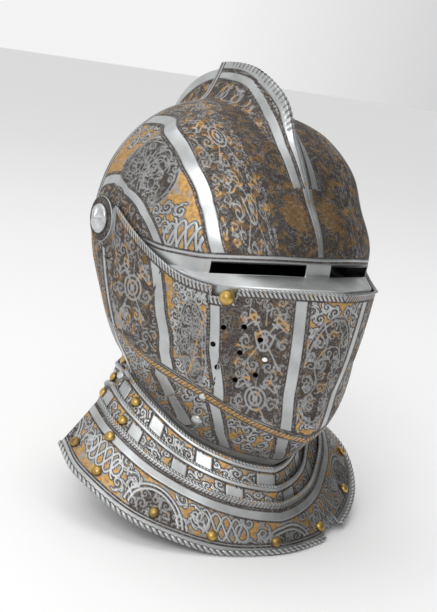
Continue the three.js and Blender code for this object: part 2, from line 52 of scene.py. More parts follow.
# Form tables: angle about the pivots, reach, keel, fullness; crest tables: angle, height
BEVOR_ROWS = np.array([
    [-180, 115, 0.0, 2.0], [-130, 122, 0.0, 2.0], [-95, 137, 0.0, 2.0], [-70, 172, 0.03, 2.1],
    [-52, 189, 0.12, 2.2], [-41, 187, 0.17, 2.18], [-30.4, 172, 0.17, 2.18], [-5, 158.2, 0.16, 2.25],
    [40, 158, 0.15, 2.3], [180, 115, 0.0, 2.0],
])
BEVOR = {"half": HALF, "rows": BEVOR_ROWS}
CHIN = {"half": HALF - 2 * LAYER, "rows": BEVOR_ROWS - np.array([0, LAYER, 0, 0])}
SHELF = {"half": HALF - LAYER, "rows": np.array([[-180, 155.5, 0.17, 2.2], [180, 155.5, 0.17, 2.2]])}
VISOR = {
    "half": HALF - LAYER,
    "rows": np.array([
        [-180, 108, 0.0, 2.2], [-20, 128, 0.05, 2.5], [0, 127, 0.05, 2.5], [20, 111, 0.03, 2.5],
        [40, 103, 0.0, 2.7], [60, 97, 0.0, 2.75], [80, 94, 0.0, 2.12], [105, 93, 0.0, 2.02],
        [270, 93, 0.0, 2.02],
    ]),
    "crest": np.array([
        [-180, 0], [0, 0], [20, 1], [40, 5.5], [59, 21.2], [70, 24.5], [81, 26.7], [110, 28],
        [150, 0], [270, 0],
    ]),
    "comb": (18.0, 1.5),
}
SKULL = {
    "half": HALF - 3 * LAYER,
    "rows": np.array([
        [-60, 130, 0.0, 2.0], [0, 96, 0.0, 2.0], [40, 89.5, 0.0, 2.0], [145, 89.5, 0.0, 2.0],
        [180, 90, 0.0, 2.0], [210, 98, 0.0, 2.0], [235, 101, 0.0, 2.0], [265, 118, 0.0, 2.0],
        [285, 130, 0.0, 2.0], [300, 130, 0.0, 2.0],
    ]),
    "crest": np.array([
        [-60, 0], [92, 0], [99, 26.6], [118, 27.5], [130, 26], [145, 18], [160, 6], [170, 0], [300, 0],
    ]),
    "comb": (15.3, 0.4),
}
COMB_HOLLOW = 1.8

# Side-view edges as y, z from the pivots
VISOR_REAR = np.array([[16, 0], [20, 40], [22, 150.0]])
SHELF_TOP = np.array([[-175, -16], [-127, -9.6], [-94, -16], [-66, -17], [0, -11.0]])
BEVOR_TOP = np.array([
    [-175, -11.4], [-157, -14.2], [-143, -16], [-110, -22], [-88, -20], [-62, -9], [-20, 12.0],
])
BEVOR_FOOT = np.array([[-160, -136], [-141.9, -121.8], [-100, -99], [-50, -83], [-8, -68.0]])
SKULL_FRONT = np.array([[-14, -150], [-16, -40], [-20, -6], [-40, 20], [-72, 58], [-92, 100.0]])
LAP = 12.0
CHIN_BACK = 8.5
# Sight: inner and outer width, height; notch: its two sides and its depth
SIGHT = (10.2, 68.0, 8.5)
NOTCH = (-70.2, -59.0, 6.7)
SNAP_SLACK = 1e-6
BREATH_SIDES = 20
BREATH_RADIUS = 1.9
BREATHS = np.array([
    [-61.5, -47.1], [-52.7, -44.3], [-43.6, -51], [-63.8, -60], [-51.3, -62], [-38.6, -64.3],
    [-59.7, -75.3], [-40.9, -75.6], [-50.1, -81.5],
])

# Gorget tables: azimuth from the front, height, reach
GORGET_CENTRE = -10.0
NECK = np.array([[0, -149], [30, -141], [60, -121], [90, -104], [130, -94], [180, -90.0]])
FRONT_RIM = np.array([
    [0, -205.6, 127], [14, -205.2, 126], [45, -193, 126.5], [70, -174, 123.5], [89, -162.5, 114],
])
REAR_RIM = np.array([[84, -156, 80], [110, -168, 76], [142, -203.4, 86], [180, -203.6, 100.0]])
GORGET_WALL = 1.4
GORGET_STEP = 2.2
FLOOR_LEVEL = -201.8
LAMES = [("lame_1", 0.03, 0.3), ("lame_2", 0.25, 0.5), ("gorget_plate", 0.44, 1.0)]
FRONT_ARC = 85.0
REAR_ARC = 86.5
RIM_RIVETS = {
    "front": [-79, -65, -43, -24, -3, 18, 43, 63, 79],
    "rear": [105, 130, 155, 180, 205, 230, 255],
}
RIM_RIVET_SHARE = 0.86
LAME_RIVET_DROP = 0.13
LAME_RIVET_AZIMUTH = 68
# Rivet: radius, rise, lift off the plate; break in the front rim: its two azimuths and its depth
RIVET = (3.8, 3.2, 0.4)
BREAK = (18.5, 29.5, 7.0)
PLATE_LENGTH = 80.0
ETCH_DEPTH = 0.16

# Turned pieces: rosette radius, rise and seat, and shank; peg place, and its shank, ball and ball height; pin
ROSETTE = (10.4, 4.6, HALF + 0.3)
ROSETTE_SHANK = [[0.02, 88.2], [6, 88.2], [6, 90.2], [3, 90.2]]
PEG_PLACE = (-59.5, -24.2)
PEG = (2.1, 5.2, 10.7)
PIN_PLACE = (-80, 0.09)
PIN_PROFILE = np.array([[0.02, 0], [1.6, 0], [1.6, 6.2], [3, 6.6], [3, 8.1], [2.2, 8.7], [0.02, 8.8]])


def column(rows, angle, k):
    """One table column at an angle: a cubic through the rows whose slopes never overshoot."""
    at = rows[:, 0]
    value = rows[:, k]
    step = np.diff(at)
    slope = np.diff(value) / step
    tangent = np.zeros(len(at))
    product = slope[1:] * slope[:-1]
    tangent[1:-1] = np.where(product > 0, 2 * product / np.where(product > 0, slope[1:] + slope[:-1], 1), 0)
    i = np.clip(np.searchsorted(at, angle, side="right") - 1, 0, len(at) - 2)
    t = np.clip((angle - at[i]) / step[i], 0, 1)
    h = step[i]
    return (value[i] * (1 + 2 * t) * (1 - t) ** 2 + value[i + 1] * t * t * (3 - 2 * t)
            + h * tangent[i] * t * (1 - t) ** 2 - h * tangent[i + 1] * t * t * (1 - t))


def form_radius(form, angle, x, inset=0.0):
    """Distance from the pivot axis: a squared ellipse from median to pivot, less the keel, plus the comb."""
    full = column(form["rows"], angle, 3)
    sine = np.minimum(np.abs(x) / (form["half"] - inset), 1) ** (full / 2)
    cosine = np.sqrt(1 - sine * sine)
    reach = column(form["rows"], angle, 1) - inset
    radius = reach * (cosine ** (2 / full) - column(form["rows"], angle, 2) * sine * cosine ** 2)
    if "comb" in form:
        base, top = form["comb"]
        rise = np.clip((base - np.abs(x) - inset) / (base - top), 0, 1)
        radius = radius + column(form["crest"], angle, 1) * rise ** COMB_HOLLOW
    return radius


def form_points(form, angle, x, inset=0.0):
    """Points of a form: width x, and the radius turned by the angle from the front over the top."""
    radius = form_radius(form, angle, x, inset)
    turn = np.radians(angle)
    return np.stack([x + 0 * angle, -radius * np.cos(turn), radius * np.sin(turn)], -1)


def edge_angle(form, x, inset, start, stop, level, steps=600):
    """Angle where each column, walked from start to stop, first meets a level function's zero."""
    angle = np.linspace(start, stop, steps)[None, :] + 0 * x[:, None]
    value = level(form_points(form, angle, x[:, None], inset))
    outside = value < 0
    outside[:, -1] = True
    first = np.maximum(outside.argmax(1), 1)
    rows = np.arange(len(x))
    before = value[rows, first - 1]
    after = value[rows, first]
    share = np.clip(before / np.where(np.abs(before - after) < 1e-9, 1, before - after), 0, 1)
    return angle[rows, first - 1] + share * (angle[rows, first] - angle[rows, first - 1])


def strip(form, x, inset, start, stop, count):
    """Grid of points on a form between two angles per column."""
    share = np.linspace(0, 1, count)[None, :]
    angle = start[:, None] + (stop - start)[:, None] * share
    return form_points(form, angle, x[:, None], inset), angle


def smooth_line(line, reach=6.0):
    """A side-view edge, resampled and rounded over a short reach, as y and z."""
    y = np.linspace(line[0, 0], line[-1, 0], 600)
    z = np.interp(y, line[:, 0], line[:, 1])
    span = max(int(reach / abs(y[1] - y[0])), 1)
    kernel = np.ones(2 * span + 1) / (2 * span + 1)
    padded = np.pad(z, span, mode="reflect", reflect_type="odd")
    return y, np.convolve(padded, kernel, mode="valid")


SHELF_LINE = smooth_line(SHELF_TOP)
TOP_LINE = smooth_line(BEVOR_TOP, 10.0)
FOOT_LINE = smooth_line(BEVOR_FOOT)


def half_widths(form, side, count, comb_count=0, inner=0.0, last=84.3):
    """Widths of a half plate's columns: even steps down a comb's flank, then even turns to the pivot."""
    first = np.degrees(np.arcsin(inner / form["half"]))
    rest = form["half"] * np.sin(np.radians(np.linspace(first, last, count)))
    if comb_count:
        rest = np.concatenate([inner * np.linspace(0, 1, comb_count, endpoint=False) ** 1.15, rest])
    return side * rest


def snap(widths, places):
    """The widths with the nearest column moved onto each wanted place."""
    result = widths.copy()
    for place in places:
        result[np.abs(result - place).argmin()] = place
    return result


# Gorget
def neck_reach(azimuth, form):
    """Distance of the neck line from the neck's middle, found by halving between 20 and 200."""
    turn = np.radians(azimuth)
    height = column(NECK, azimuth, 1)
    near = np.full(azimuth.shape, 20.0)
    far = np.full(azimuth.shape, 200.0)
    for _ in range(40):
        reach = (near + far) / 2
        x = reach * np.sin(turn)
        y = GORGET_CENTRE - reach * np.cos(turn)
        angle = np.degrees(np.arctan2(height, -y))
        if form is SKULL:
            angle = np.where(angle < -60, angle + 360, angle)
        radius = form_radius(form, angle, np.minimum(x, form["half"]))
        inside = (np.abs(x) < form["half"]) & (np.hypot(y, height) < radius)
        near = np.where(inside, reach, near)
        far = np.where(inside, far, reach)
    return near


TURNS = np.linspace(0, 180, 361)
FRONT_NECK = neck_reach(TURNS, CHIN)
REAR_NECK = neck_reach(TURNS, SKULL)


def gorget_points(azimuth, share, lift):
    """Gorget surface: from the neck line out to the rim, share to the power 1.2, lifted along its normal."""
    turn = np.abs(np.where(azimuth > 180, 360 - azimuth, azimuth))
    front = turn < (FRONT_ARC + REAR_ARC) / 2
    neck = np.where(front, np.interp(turn, TURNS, FRONT_NECK), np.interp(turn, TURNS, REAR_NECK))
    rim = np.where(front, column(FRONT_RIM, turn, 2), column(REAR_RIM, turn, 2))
    low = np.where(front, column(FRONT_RIM, turn, 1), column(REAR_RIM, turn, 1))
    top = column(NECK, turn, 1)
    reach = neck + (rim - neck) * share ** 1.2
    height = top + (low - top) * share
    out = (rim - neck) * 1.2 * np.maximum(share, 1e-3) ** 0.2
    down = low - top
    length = np.hypot(out, down)
    reach = reach - lift * down / length
    height = np.maximum(height + lift * out / length, FLOOR_LEVEL)
    angle = np.radians(azimuth)
    return np.stack([reach * np.sin(angle), GORGET_CENTRE - reach * np.cos(angle), height], -1)


# Meshes
def add_piece(name, points, faces, body, nodes, material, values=None):
    """A mesh piece from points in millimetres about the pivots, with named values on its points."""
    mesh = bpy.data.meshes.new(name)
    mesh.from_pydata(((points + PIVOT) * MM).tolist(), [], faces)
    for key, value in (values or {}).items():
        attribute = mesh.attributes.new(key, "FLOAT", "POINT")
        attribute.data.foreach_set("value", np.ascontiguousarray(value, dtype=np.float32))
    mesh.polygons.foreach_set("use_smooth", np.ones(len(mesh.polygons), dtype=bool))
    mesh.materials.append(material)
    mesh.update()
    piece = bpy.data.objects.new(name, mesh)
    bpy.context.collection.objects.link(piece)
    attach(piece, body)
    if nodes:
        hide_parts(*nodes)
    return piece


def outward(points, quads):
    """The quads, turned over together if they enclose a negative volume."""
    a, b, c, d = (points[quads[:, k]] for k in range(4))
    volume = np.einsum("ij,ij->i", a, np.cross(b, c)) + np.einsum("ij,ij->i", a, np.cross(c, d))
    return quads if volume.sum() > 0 else quads[:, ::-1]


def ring_shell(outer, inner, open_outer=None, open_inner=None, walls=()):
    """A closed wall: each column's outer and then inner points make a ring, and the rings are joined."""
    columns, rows = outer.shape[:2]
    under = inner.shape[1]
    points = np.concatenate([outer, inner[:, ::-1]], 1)
    index = np.arange(columns * (rows + under)).reshape(columns, rows + under)
    ahead = np.roll(index, -1, 1)
    quads = np.stack([index[:-1], ahead[:-1], ahead[1:], index[1:]], -1)
    keep = np.ones(quads.shape[:2], dtype=bool)
    if open_outer is not None:
        keep[:, :rows - 1] &= ~open_outer
    if open_inner is not None:
        keep[:, rows:rows + under - 1] &= ~open_inner[:, ::-1]
    flat = points.reshape(-1, 3)
    turned = outward(flat, quads.reshape(-1, 4))
    flipped = not np.array_equal(turned[0], quads.reshape(-1, 4)[0])
    faces = turned[keep.ravel()].tolist()
    ends = [index[0].tolist()[::-1], index[-1].tolist()]
    faces += [end[::-1] for end in ends] if flipped else ends
    faces += [face for wall in walls for face in wall]
    return flat, faces


def on_both(outer_value, inner_shape, inner_value=0.0):
    """Point values for a ring shell: the outer grid's own, and one number for the inner skin."""
    return np.concatenate([outer_value, np.full(inner_shape[:2], inner_value)], 1).ravel()


def turned(profile, sides, seat, axis, petals=0, depth=0.0):
    """A profile of radius and height turned about an axis, its height lowered along petals' valleys."""
    axis = axis / np.linalg.norm(axis)
    across = np.cross(axis, [0.0, 0.0, 1.0] if abs(axis[2]) < 0.9 else [0.0, 1.0, 0.0])
    across /= np.linalg.norm(across)
    third = np.cross(axis, across)
    phi = np.linspace(0, 2 * np.pi, sides, endpoint=False)
    radius = profile[:, 0][:, None]
    outer = profile[:, 0].max()
    valley = np.cos(petals * phi / 2) ** 8 if petals else np.zeros(sides)
    fade = np.clip(np.sin(np.pi * np.clip(radius / outer, 0, 1)), 0, 1) if petals else 0
    height = profile[:, 1][:, None] - depth * valley[None, :] * fade
    ring = (radius * np.cos(phi))[..., None] * across + (radius * np.sin(phi))[..., None] * third
    points = seat + ring + height[..., None] * axis
    count = len(profile)
    index = np.arange(count * sides).reshape(count, sides)
    ahead = np.roll(index, -1, 1)
    quads = np.stack([index[:-1], ahead[:-1], ahead[1:], index[1:]], -1).reshape(-1, 4)
    flat = points.reshape(-1, 3)
    faces = outward(flat, quads)
    flipped = not np.array_equal(faces[0], quads[0])
    ends = [index[0].tolist()[::-1], index[-1].tolist()]
    return flat, faces.tolist() + ([end[::-1] for end in ends] if flipped else ends)


def even_path(path, spacing):
    """The same path with even steps along its length."""
    length = np.concatenate([[0], np.cumsum(np.linalg.norm(np.diff(path, axis=0), axis=1))])
    at = np.linspace(0, length[-1], max(int(length[-1] / spacing), 8))
    return np.stack([np.interp(at, length, path[:, k]) for k in range(3)], -1), at


def rope(path, radius, pitch, strands=2, sides=14):
    """A twisted cord raised on an edge: a round profile with lobes that turn along the path."""
    points, at = even_path(path, pitch / 9)
    along = np.gradient(points, axis=0)
    along /= np.linalg.norm(along, axis=1)[:, None]
    across = np.cross(along, [0.13, 0.21, 1.0])
    across /= np.linalg.norm(across, axis=1)[:, None]
    third = np.cross(along, across)
    phi = np.linspace(0, 2 * np.pi, sides, endpoint=False)
    lobe = np.abs(np.sin(strands / 2 * phi[None, :] - np.pi * at[:, None] / pitch))
    swell = radius * (0.72 + 0.34 * lobe)
    ring = (swell * np.cos(phi))[..., None] * across[:, None]
    ring = ring + (swell * np.sin(phi))[..., None] * third[:, None]
    grid = points[:, None] + ring
    index = np.arange(grid.shape[0] * sides).reshape(-1, sides)
    ahead = np.roll(index, -1, 1)
    quads = np.stack([index[:-1], ahead[:-1], ahead[1:], index[1:]], -1).reshape(-1, 4)
    flat = grid.reshape(-1, 3)
    faces = outward(flat, quads)
    flipped = not np.array_equal(faces[0], quads[0])
    ends = [index[0].tolist()[::-1], index[-1].tolist()]
    etch = np.clip(1.15 - 1.6 * lobe, 0, 1).ravel()
    return flat, faces.tolist() + ([end[::-1] for end in ends] if flipped else ends), etch


# Etched ornament: strokes are paths in millimetres on a panel, with a line width
def circle_path(centre, rx, ry, start=0.0, stop=2 * np.pi, count=34):
    """Points of an ellipse or a part of one."""
    t = np.linspace(start, stop, count)
    return np.stack([centre[0] + rx * np.cos(t), centre[1] + ry * np.sin(t)], -1)


def leaf_scroll(centre, size, turn, hand, width=0.9):
    """A leafy scroll: a spiral that closes on its eye, with hooked leaves on its back."""
    t = np.linspace(0, 1, 24)
    angle = turn + hand * 8.5 * t
    radius = size * (1 - 0.84 * t)
    main = np.stack([centre[0] + radius * np.cos(angle), centre[1] + radius * np.sin(angle)], -1)
    strokes = [(main, width)]
    for share in (0.05, 0.2, 0.34, 0.48):
        a = turn + hand * 8.5 * share
        r = size * (1 - 0.84 * share)
        bend = np.linspace(0, 1, 7)
        leaf_angle = a - hand * 0.9 * bend
        leaf_radius = r + 0.42 * size * np.sin(np.pi * 0.6 * bend)
        leaf = np.stack([
            centre[0] + leaf_radius * np.cos(leaf_angle), centre[1] + leaf_radius * np.sin(leaf_angle),
        ], -1)
        strokes.append((leaf, width))
    return strokes


def spear(foot, tip, width=0.9):
    """A shaft with a leaf-shaped head, a collar and a pommel."""
    foot = np.array(foot, float)
    tip = np.array(tip, float)
    length = np.linalg.norm(tip - foot)
    along = (tip - foot) / length
    across = np.array([-along[1], along[0]])
    t = np.linspace(0, 1, 9)[:, None]
    bulge = np.sin(np.pi * t) * 0.055 * length
    head = tip - along * 0.2 * length * (1 - t)
    collar = tip - along * 0.24 * length
    return [
        (np.stack([foot, tip - along * 0.2 * length]), width),
        (head + across * bulge, width),
        (head - across * bulge, width),
        (np.stack([collar - across * 0.045 * length, collar + across * 0.045 * length]), width * 1.3),
        (circle_path(foot, 1.1, 1.1, count=10), width),
    ]


def shield(centre, size, width=0.9):
    """A pointed shield with a rib and a boss."""
    t = np.linspace(-1, 1, 15)
    sides = np.stack([centre[0] + size * 0.62 * t, centre[1] - size * (1 - np.abs(t) ** 2.4)], -1)
    top = np.stack([centre[0] + size * 0.62 * t, centre[1] + 0.16 * size * np.cos(np.pi * t)], -1)
    rib = np.array([[centre[0], centre[1] + 0.1 * size], [centre[0], centre[1] - 0.95 * size]])
    boss = circle_path((centre[0], centre[1] - 0.35 * size), 0.2 * size, 0.2 * size, count=14)
    return [(sides, width), (top, width), (rib, width * 0.8), (boss, width)]


def banner(pole, size, hand, width=0.9):
    """A streaming banner: two wavy edges and a forked end."""
    t = np.linspace(0, 1, 16)
    upper = np.stack([pole[0] + hand * size * t, pole[1] + 0.16 * size * np.sin(5.5 * t)], -1)
    lower = upper + np.array([0, -0.42 * size])
    fork = np.stack([upper[-1], upper[-1] + [-hand * 0.22 * size, -0.2 * size], lower[-1]])
    return [(upper, width), (lower, width), (fork, width)]


def trophy(centre, size, seed):
    """A hung trophy: crossed spears, a shield or a round target, banners and plumes."""
    draw = np.random.default_rng(seed)
    x, y = centre
    lean = 0.55 + 0.15 * draw.random()
    strokes = spear((x - lean * size, y - size), (x + lean * size, y + size), 1.3)
    strokes += spear((x + lean * size, y - size), (x - lean * size, y + size), 1.3)
    if draw.random() < 0.5:
        strokes += shield((x, y + 0.2 * size), 0.62 * size, 1.8)
    else:
        strokes += [(circle_path(centre, r * size, r * size), 1.8) for r in (0.46, 0.27, 0.08)]
    for hand in (-1, 1):
        strokes += banner((x + hand * 0.3 * size, y + 0.72 * size), 0.62 * size, hand, 1.5)
        side_scroll = (x + hand * 0.72 * size, y - 0.16 * size)
        strokes += leaf_scroll(side_scroll, 0.24 * size, draw.random() * 6, hand, 1.2)
        foot_scroll = (x + hand * 0.3 * size, y - 0.98 * size)
        strokes += leaf_scroll(foot_scroll, 0.2 * size, draw.random() * 6, -hand, 1.2)
    strokes.append((np.array([[x, y + 0.5 * size], [x, y + 1.25 * size]]), 0.9))
    return strokes


def filler(low, high, spacing, seed, size=(2.6, 4.2), avoid=()):
    """Small scrolls strewn over a panel on a loose grid, clear of round places kept for other work."""
    draw = np.random.default_rng(seed)
    strokes = []
    for i, x in enumerate(np.arange(low[0] + spacing / 2, high[0], spacing)):
        for y in np.arange(low[1] + spacing / 2 + (i % 2) * spacing / 2, high[1], spacing):
            place = np.array([x, y]) + (draw.random(2) - 0.5) * 0.5 * spacing
            radius = size[0] + (size[1] - size[0]) * draw.random()
            if any(np.hypot(*(place - centre)) < reach for centre, reach in avoid):
                continue
            strokes += leaf_scroll(place, radius, draw.random() * 6.3, draw.choice([-1, 1]), 0.8)
    return strokes


def foliage(low, high, seed, pitch=17.0):
    """A running stem with leafy scrolls turning to either side."""
    middle = (low[0] + high[0]) / 2
    half = (high[0] - low[0]) / 2
    y = np.linspace(low[1], high[1], max(int((high[1] - low[1]) / 1.6), 6))
    stem = np.stack([middle + 0.3 * half * np.sin(np.pi * (y - low[1]) / pitch), y], -1)
    strokes = [(stem, 0.9)]
    for k, at in enumerate(np.arange(low[1] + pitch / 2, high[1], pitch)):
        hand = 1 if k % 2 else -1
        strokes += leaf_scroll((middle + hand * 0.42 * half, at), 0.5 * min(half, pitch), 0.4 + seed, hand)
    return strokes


def knot(centre, width, height, width_line=1.5):
    """An interlaced knot: three strands that cross in a lattice, and a loop at each end."""
    t = np.linspace(0, 1, 60)
    strokes = []
    for phase in (0.0, 1 / 3, 2 / 3):
        x = centre[0] + width * (t - 0.5)
        y = centre[1] + 0.5 * height * np.sin(2 * np.pi * (1.25 * t + phase))
        strokes.append((np.stack([x, y], -1), width_line))
    for hand in (-1, 1):
        loop = (centre[0] + hand * 0.5 * width, centre[1])
        strokes.append((circle_path(loop, 0.16 * width, 0.34 * height), width_line))
    return strokes


def medallion(centre, rx, ry, seed):
    """An oval medallion with a double rim and a spray of leaves."""
    strokes = [
        (circle_path(centre, rx, ry, count=60), 1.5),
        (circle_path(centre, rx - 2.6, ry - 2.6, count=60), 0.8),
    ]
    x, y = centre
    strokes.append((np.array([[x, y - 0.7 * ry], [x, y + 0.6 * ry]]), 1.0))
    for k, share in enumerate((-0.5, -0.15, 0.2, 0.5)):
        for hand in (-1, 1):
            place = (x + hand * 0.36 * rx, y + share * ry)
            strokes += leaf_scroll(place, 0.26 * rx, seed + k, hand)
    return strokes


def drawn(a, b, strokes):
    """Lightness of strokes at panel places: one on a line, falling to nothing just beside it."""
    return np.clip(0.5 - stroke_distance(a, b, strokes) / 0.7, 0, 1)


def stroke_distance(a, b, strokes):
    """Distance of panel places from the nearest stroke's edge, nine at most."""
    distance = np.full(a.shape, 9.0)
    for path, width in strokes:
        low = path.min(0) - width - 1
        high = path.max(0) + width + 1
        near = np.flatnonzero((a > low[0]) & (a < high[0]) & (b > low[1]) & (b < high[1]))
        if not near.size:
            continue
        start = path[:-1]
        step = path[1:] - start
        length = np.maximum((step ** 2).sum(1), 1e-9)
        gap_a = a[near][:, None] - start[None, :, 0]
        gap_b = b[near][:, None] - start[None, :, 1]
        share = np.clip((gap_a * step[:, 0] + gap_b * step[:, 1]) / length, 0, 1)
        away = np.hypot(gap_a - share * step[:, 0], gap_b - share * step[:, 1]).min(1) - width / 2
        distance[near] = np.minimum(distance[near], away)
    return distance


class Etching:
    """Etched and gilt values of one plate's outer grid, filled panel by panel."""

    def __init__(self, shape):
        self.etch = np.zeros(shape)
        self.gilt = np.zeros(shape)
        self.cut = np.zeros(shape)

    def panel(self, inside, a, b, strokes, gilt, line=0.36):
        """Darkens a panel, leaving its strokes light, and lays gilding over it."""
        light = drawn(a[inside], b[inside], strokes)
        self.etch[inside] = 1 - (1 - line) * light
        self.gilt[inside] = gilt

    def strapwork(self, inside, a, b, strokes, gilt=0.85):
        """Plain strands with dark outlines on a gilt ground."""
        distance = stroke_distance(a[inside], b[inside], strokes)
        outline = np.clip(1.25 - np.abs(distance - 0.45) / 0.55, 0, 1)
        ground = np.clip((distance - 0.5) / 0.6, 0, 1)
        self.etch[inside] = np.maximum(outline, 0.45 * ground)
        self.gilt[inside] = gilt * ground

    def lines(self, distance, places, width=0.8):
        """Dark lines at given distances."""
        for place in places:
            dark = np.clip(1.0 - (np.abs(distance - place) - width / 2) / 0.6, 0, 1)
            self.etch = np.maximum(self.etch, dark)

    def band(self, distance, half, gilt=0.0):
        """A bright plain band with a dark double line along each edge."""
        inside = np.abs(distance) < half
        self.etch[inside] = 0
        self.gilt[inside] = gilt
        self.lines(np.where(np.abs(distance) < half + 1, np.abs(distance), 99), (half - 1.3, half + 0.2))


def arc_lengths(points):
    """Lengths on the surface from the first column and from the first row."""
    across = np.linalg.norm(np.diff(points, axis=0), axis=2)
    along = np.linalg.norm(np.diff(points, axis=1), axis=2)
    zero_across = np.zeros((1, points.shape[1]))
    zero_along = np.zeros((points.shape[0], 1))
    return (np.concatenate([zero_across, np.cumsum(across, 0)]),
            np.concatenate([zero_along, np.cumsum(along, 1)], 1))


def from_line(value, line_value, across):
    """Distance on the surface from a line where a growing or falling value equals the line's."""
    slope = np.gradient(value, axis=0) / np.maximum(np.gradient(across, axis=0), 1e-6)
    return (value - line_value) / np.where(np.abs(slope) < 0.05, 0.05 * np.sign(slope + 1e-9), slope)


def sunk(points, depth):
    """The surface lowered along its own normal by a depth at each point."""
    normal = np.cross(np.gradient(points, axis=0), np.gradient(points, axis=1))
    normal /= np.maximum(np.linalg.norm(normal, axis=2), 1e-9)[..., None]
    centre = np.array([0.0, -20.0, -40.0])
    side = np.sign(((points - centre) * normal).sum(2).mean())
    return points - side * normal * depth[..., None]


# Finishes
def etched_steel(name):
    """Steel with an etched, part-gilt surface: bright where plain, dark and stippled where etched."""
    material = bpy.data.materials.new(name)
    material.use_nodes = True
    tree = material.node_tree
    shader = tree.nodes["Principled BSDF"]
    place = tree.nodes.new("ShaderNodeTexCoord").outputs["Object"]

    def grain(scale, detail=4.0, twist=0.0):
        node = tree.nodes.new("ShaderNodeTexNoise")
        node.inputs["Scale"].default_value = scale
        node.inputs["Detail"].default_value = detail
        node.inputs["Distortion"].default_value = twist
        tree.links.new(place, node.inputs["Vector"])
        return node.outputs["Fac"]

    def value_of(key):
        node = tree.nodes.new("ShaderNodeAttribute")
        node.attribute_name = key
        return node.outputs["Fac"]

    def ramp(value, stops):
        node = tree.nodes.new("ShaderNodeValToRGB")
        for stop, (at, colour) in zip(node.color_ramp.elements, stops):
            stop.position = at
            stop.color = (*colour, 1)
        tree.links.new(value, node.inputs["Fac"])
        return node.outputs["Color"]

    def mix(share, first, second):
        node = tree.nodes.new("ShaderNodeMix")
        node.data_type = "RGBA"
        tree.links.new(share, node.inputs[0])
        for value, socket in ((first, node.inputs[6]), (second, node.inputs[7])):
            if isinstance(value, tuple):
                socket.default_value = (*value, 1)
            else:
                tree.links.new(value, socket)
        return node.outputs[2]

    def maths(kind, first, second):
        node = tree.nodes.new("ShaderNodeMath")
        node.operation = kind
        for value, socket in ((first, node.inputs[0]), (second, node.inputs[1])):
            if isinstance(value, float):
                socket.default_value = value
            else:
                tree.links.new(value, socket)
        return node.outputs[0]

    black, white = (0.0, 0.0, 0.0), (1.0, 1.0, 1.0)
    etched = ramp(value_of("etch"), ((0.1, black), (0.85, white)))
    wear = maths("MULTIPLY", maths("SUBTRACT", grain(170.0, 8.0), 0.5), 2.4)
    gilded = maths("MULTIPLY", ramp(maths("ADD", value_of("gilt"), wear), ((0.42, black), (0.7, white))), 0.8)
    inside = value_of("inside")
    steel = ramp(grain(45.0, 8.0), ((0.3, STEEL_DARK), (0.7, STEEL_LIGHT)))
    stipple = grain(1300.0, 2.0)
    ground = ramp(stipple, ((0.38, GROUND_DARK), (0.62, GROUND_LIGHT)))
    curl = maths("ABSOLUTE", maths("SUBTRACT", grain(120.0, 2.0, 1.4), 0.5), 0.0)
    tendril = maths("MULTIPLY", ramp(curl, ((0.012, white), (0.03, black))), 0.22)
    ground = mix(tendril, ground, STEEL_LIGHT)
    gold = ramp(grain(420.0, 3.0), ((0.35, GOLD_DARK), (0.65, GOLD_LIGHT)))
    colour = mix(etched, steel, ground)
    colour = mix(maths("MULTIPLY", gilded, ramp(etched, ((0.5, white), (1.0, GILT_LOSS)))), colour, gold)
    colour = mix(inside, colour, BLACKENED)
    tree.links.new(colour, shader.inputs["Base Color"])
    rough = ramp(etched, ((0.0, (0.34, 0.34, 0.34)), (1.0, (0.62, 0.62, 0.62))))
    rough = maths("ADD", rough, maths("MULTIPLY", grain(260.0, 3.0), 0.08))
    tree.links.new(rough, shader.inputs["Roughness"])
    shader.inputs["Metallic"].default_value = METAL
    bump = tree.nodes.new("ShaderNodeBump")
    bump.inputs["Strength"].default_value = 0.35
    bump.inputs["Distance"].default_value = 0.0003
    height = maths("SUBTRACT", maths("MULTIPLY", maths("MULTIPLY", stipple, etched), 0.6), etched)
    tree.links.new(height, bump.inputs["Height"])
    tree.links.new(bump.outputs["Normal"], shader.inputs["Normal"])
    return material


def plain_metal(name, dark, light, rough, scale=220.0):
    """A plain worn metal: two tones by fine grain, with small pits."""
    material = bpy.data.materials.new(name)
    material.use_nodes = True
    tree = material.node_tree
    shader = tree.nodes["Principled BSDF"]
    place = tree.nodes.new("ShaderNodeTexCoord").outputs["Object"]
    grain = tree.nodes.new("ShaderNodeTexNoise")
    grain.inputs["Scale"].default_value = scale
    grain.inputs["Detail"].default_value = 6.0
    tree.links.new(place, grain.inputs["Vector"])
    tones = tree.nodes.new("ShaderNodeValToRGB")
    for stop, at, colour in zip(tones.color_ramp.elements, (0.35, 0.65), (dark, light)):
        stop.position = at
        stop.color = (*colour, 1)
    tree.links.new(grain.outputs["Fac"], tones.inputs["Fac"])
    tree.links.new(tones.outputs["Color"], shader.inputs["Base Color"])
    shader.inputs["Metallic"].default_value = METAL
    shader.inputs["Roughness"].default_value = rough
    bump = tree.nodes.new("ShaderNodeBump")
    bump.inputs["Strength"].default_value = 0.2
    bump.inputs["Distance"].default_value = 0.0003
    tree.links.new(grain.outputs["Fac"], bump.inputs["Height"])
    tree.links.new(bump.outputs["Normal"], shader.inputs["Normal"])
    return material


STEEL_DARK = (0.36, 0.37, 0.37)
STEEL_LIGHT = (0.56, 0.575, 0.58)
GROUND_DARK = (0.05, 0.043, 0.039)
GROUND_LIGHT = (0.125, 0.108, 0.098)
GOLD_DARK = (0.36, 0.18, 0.035)
GOLD_LIGHT = (0.66, 0.37, 0.075)
GILT_LOSS = (0.35, 0.35, 0.35)
BLACKENED = (0.05, 0.045, 0.04)
METAL = 0.82

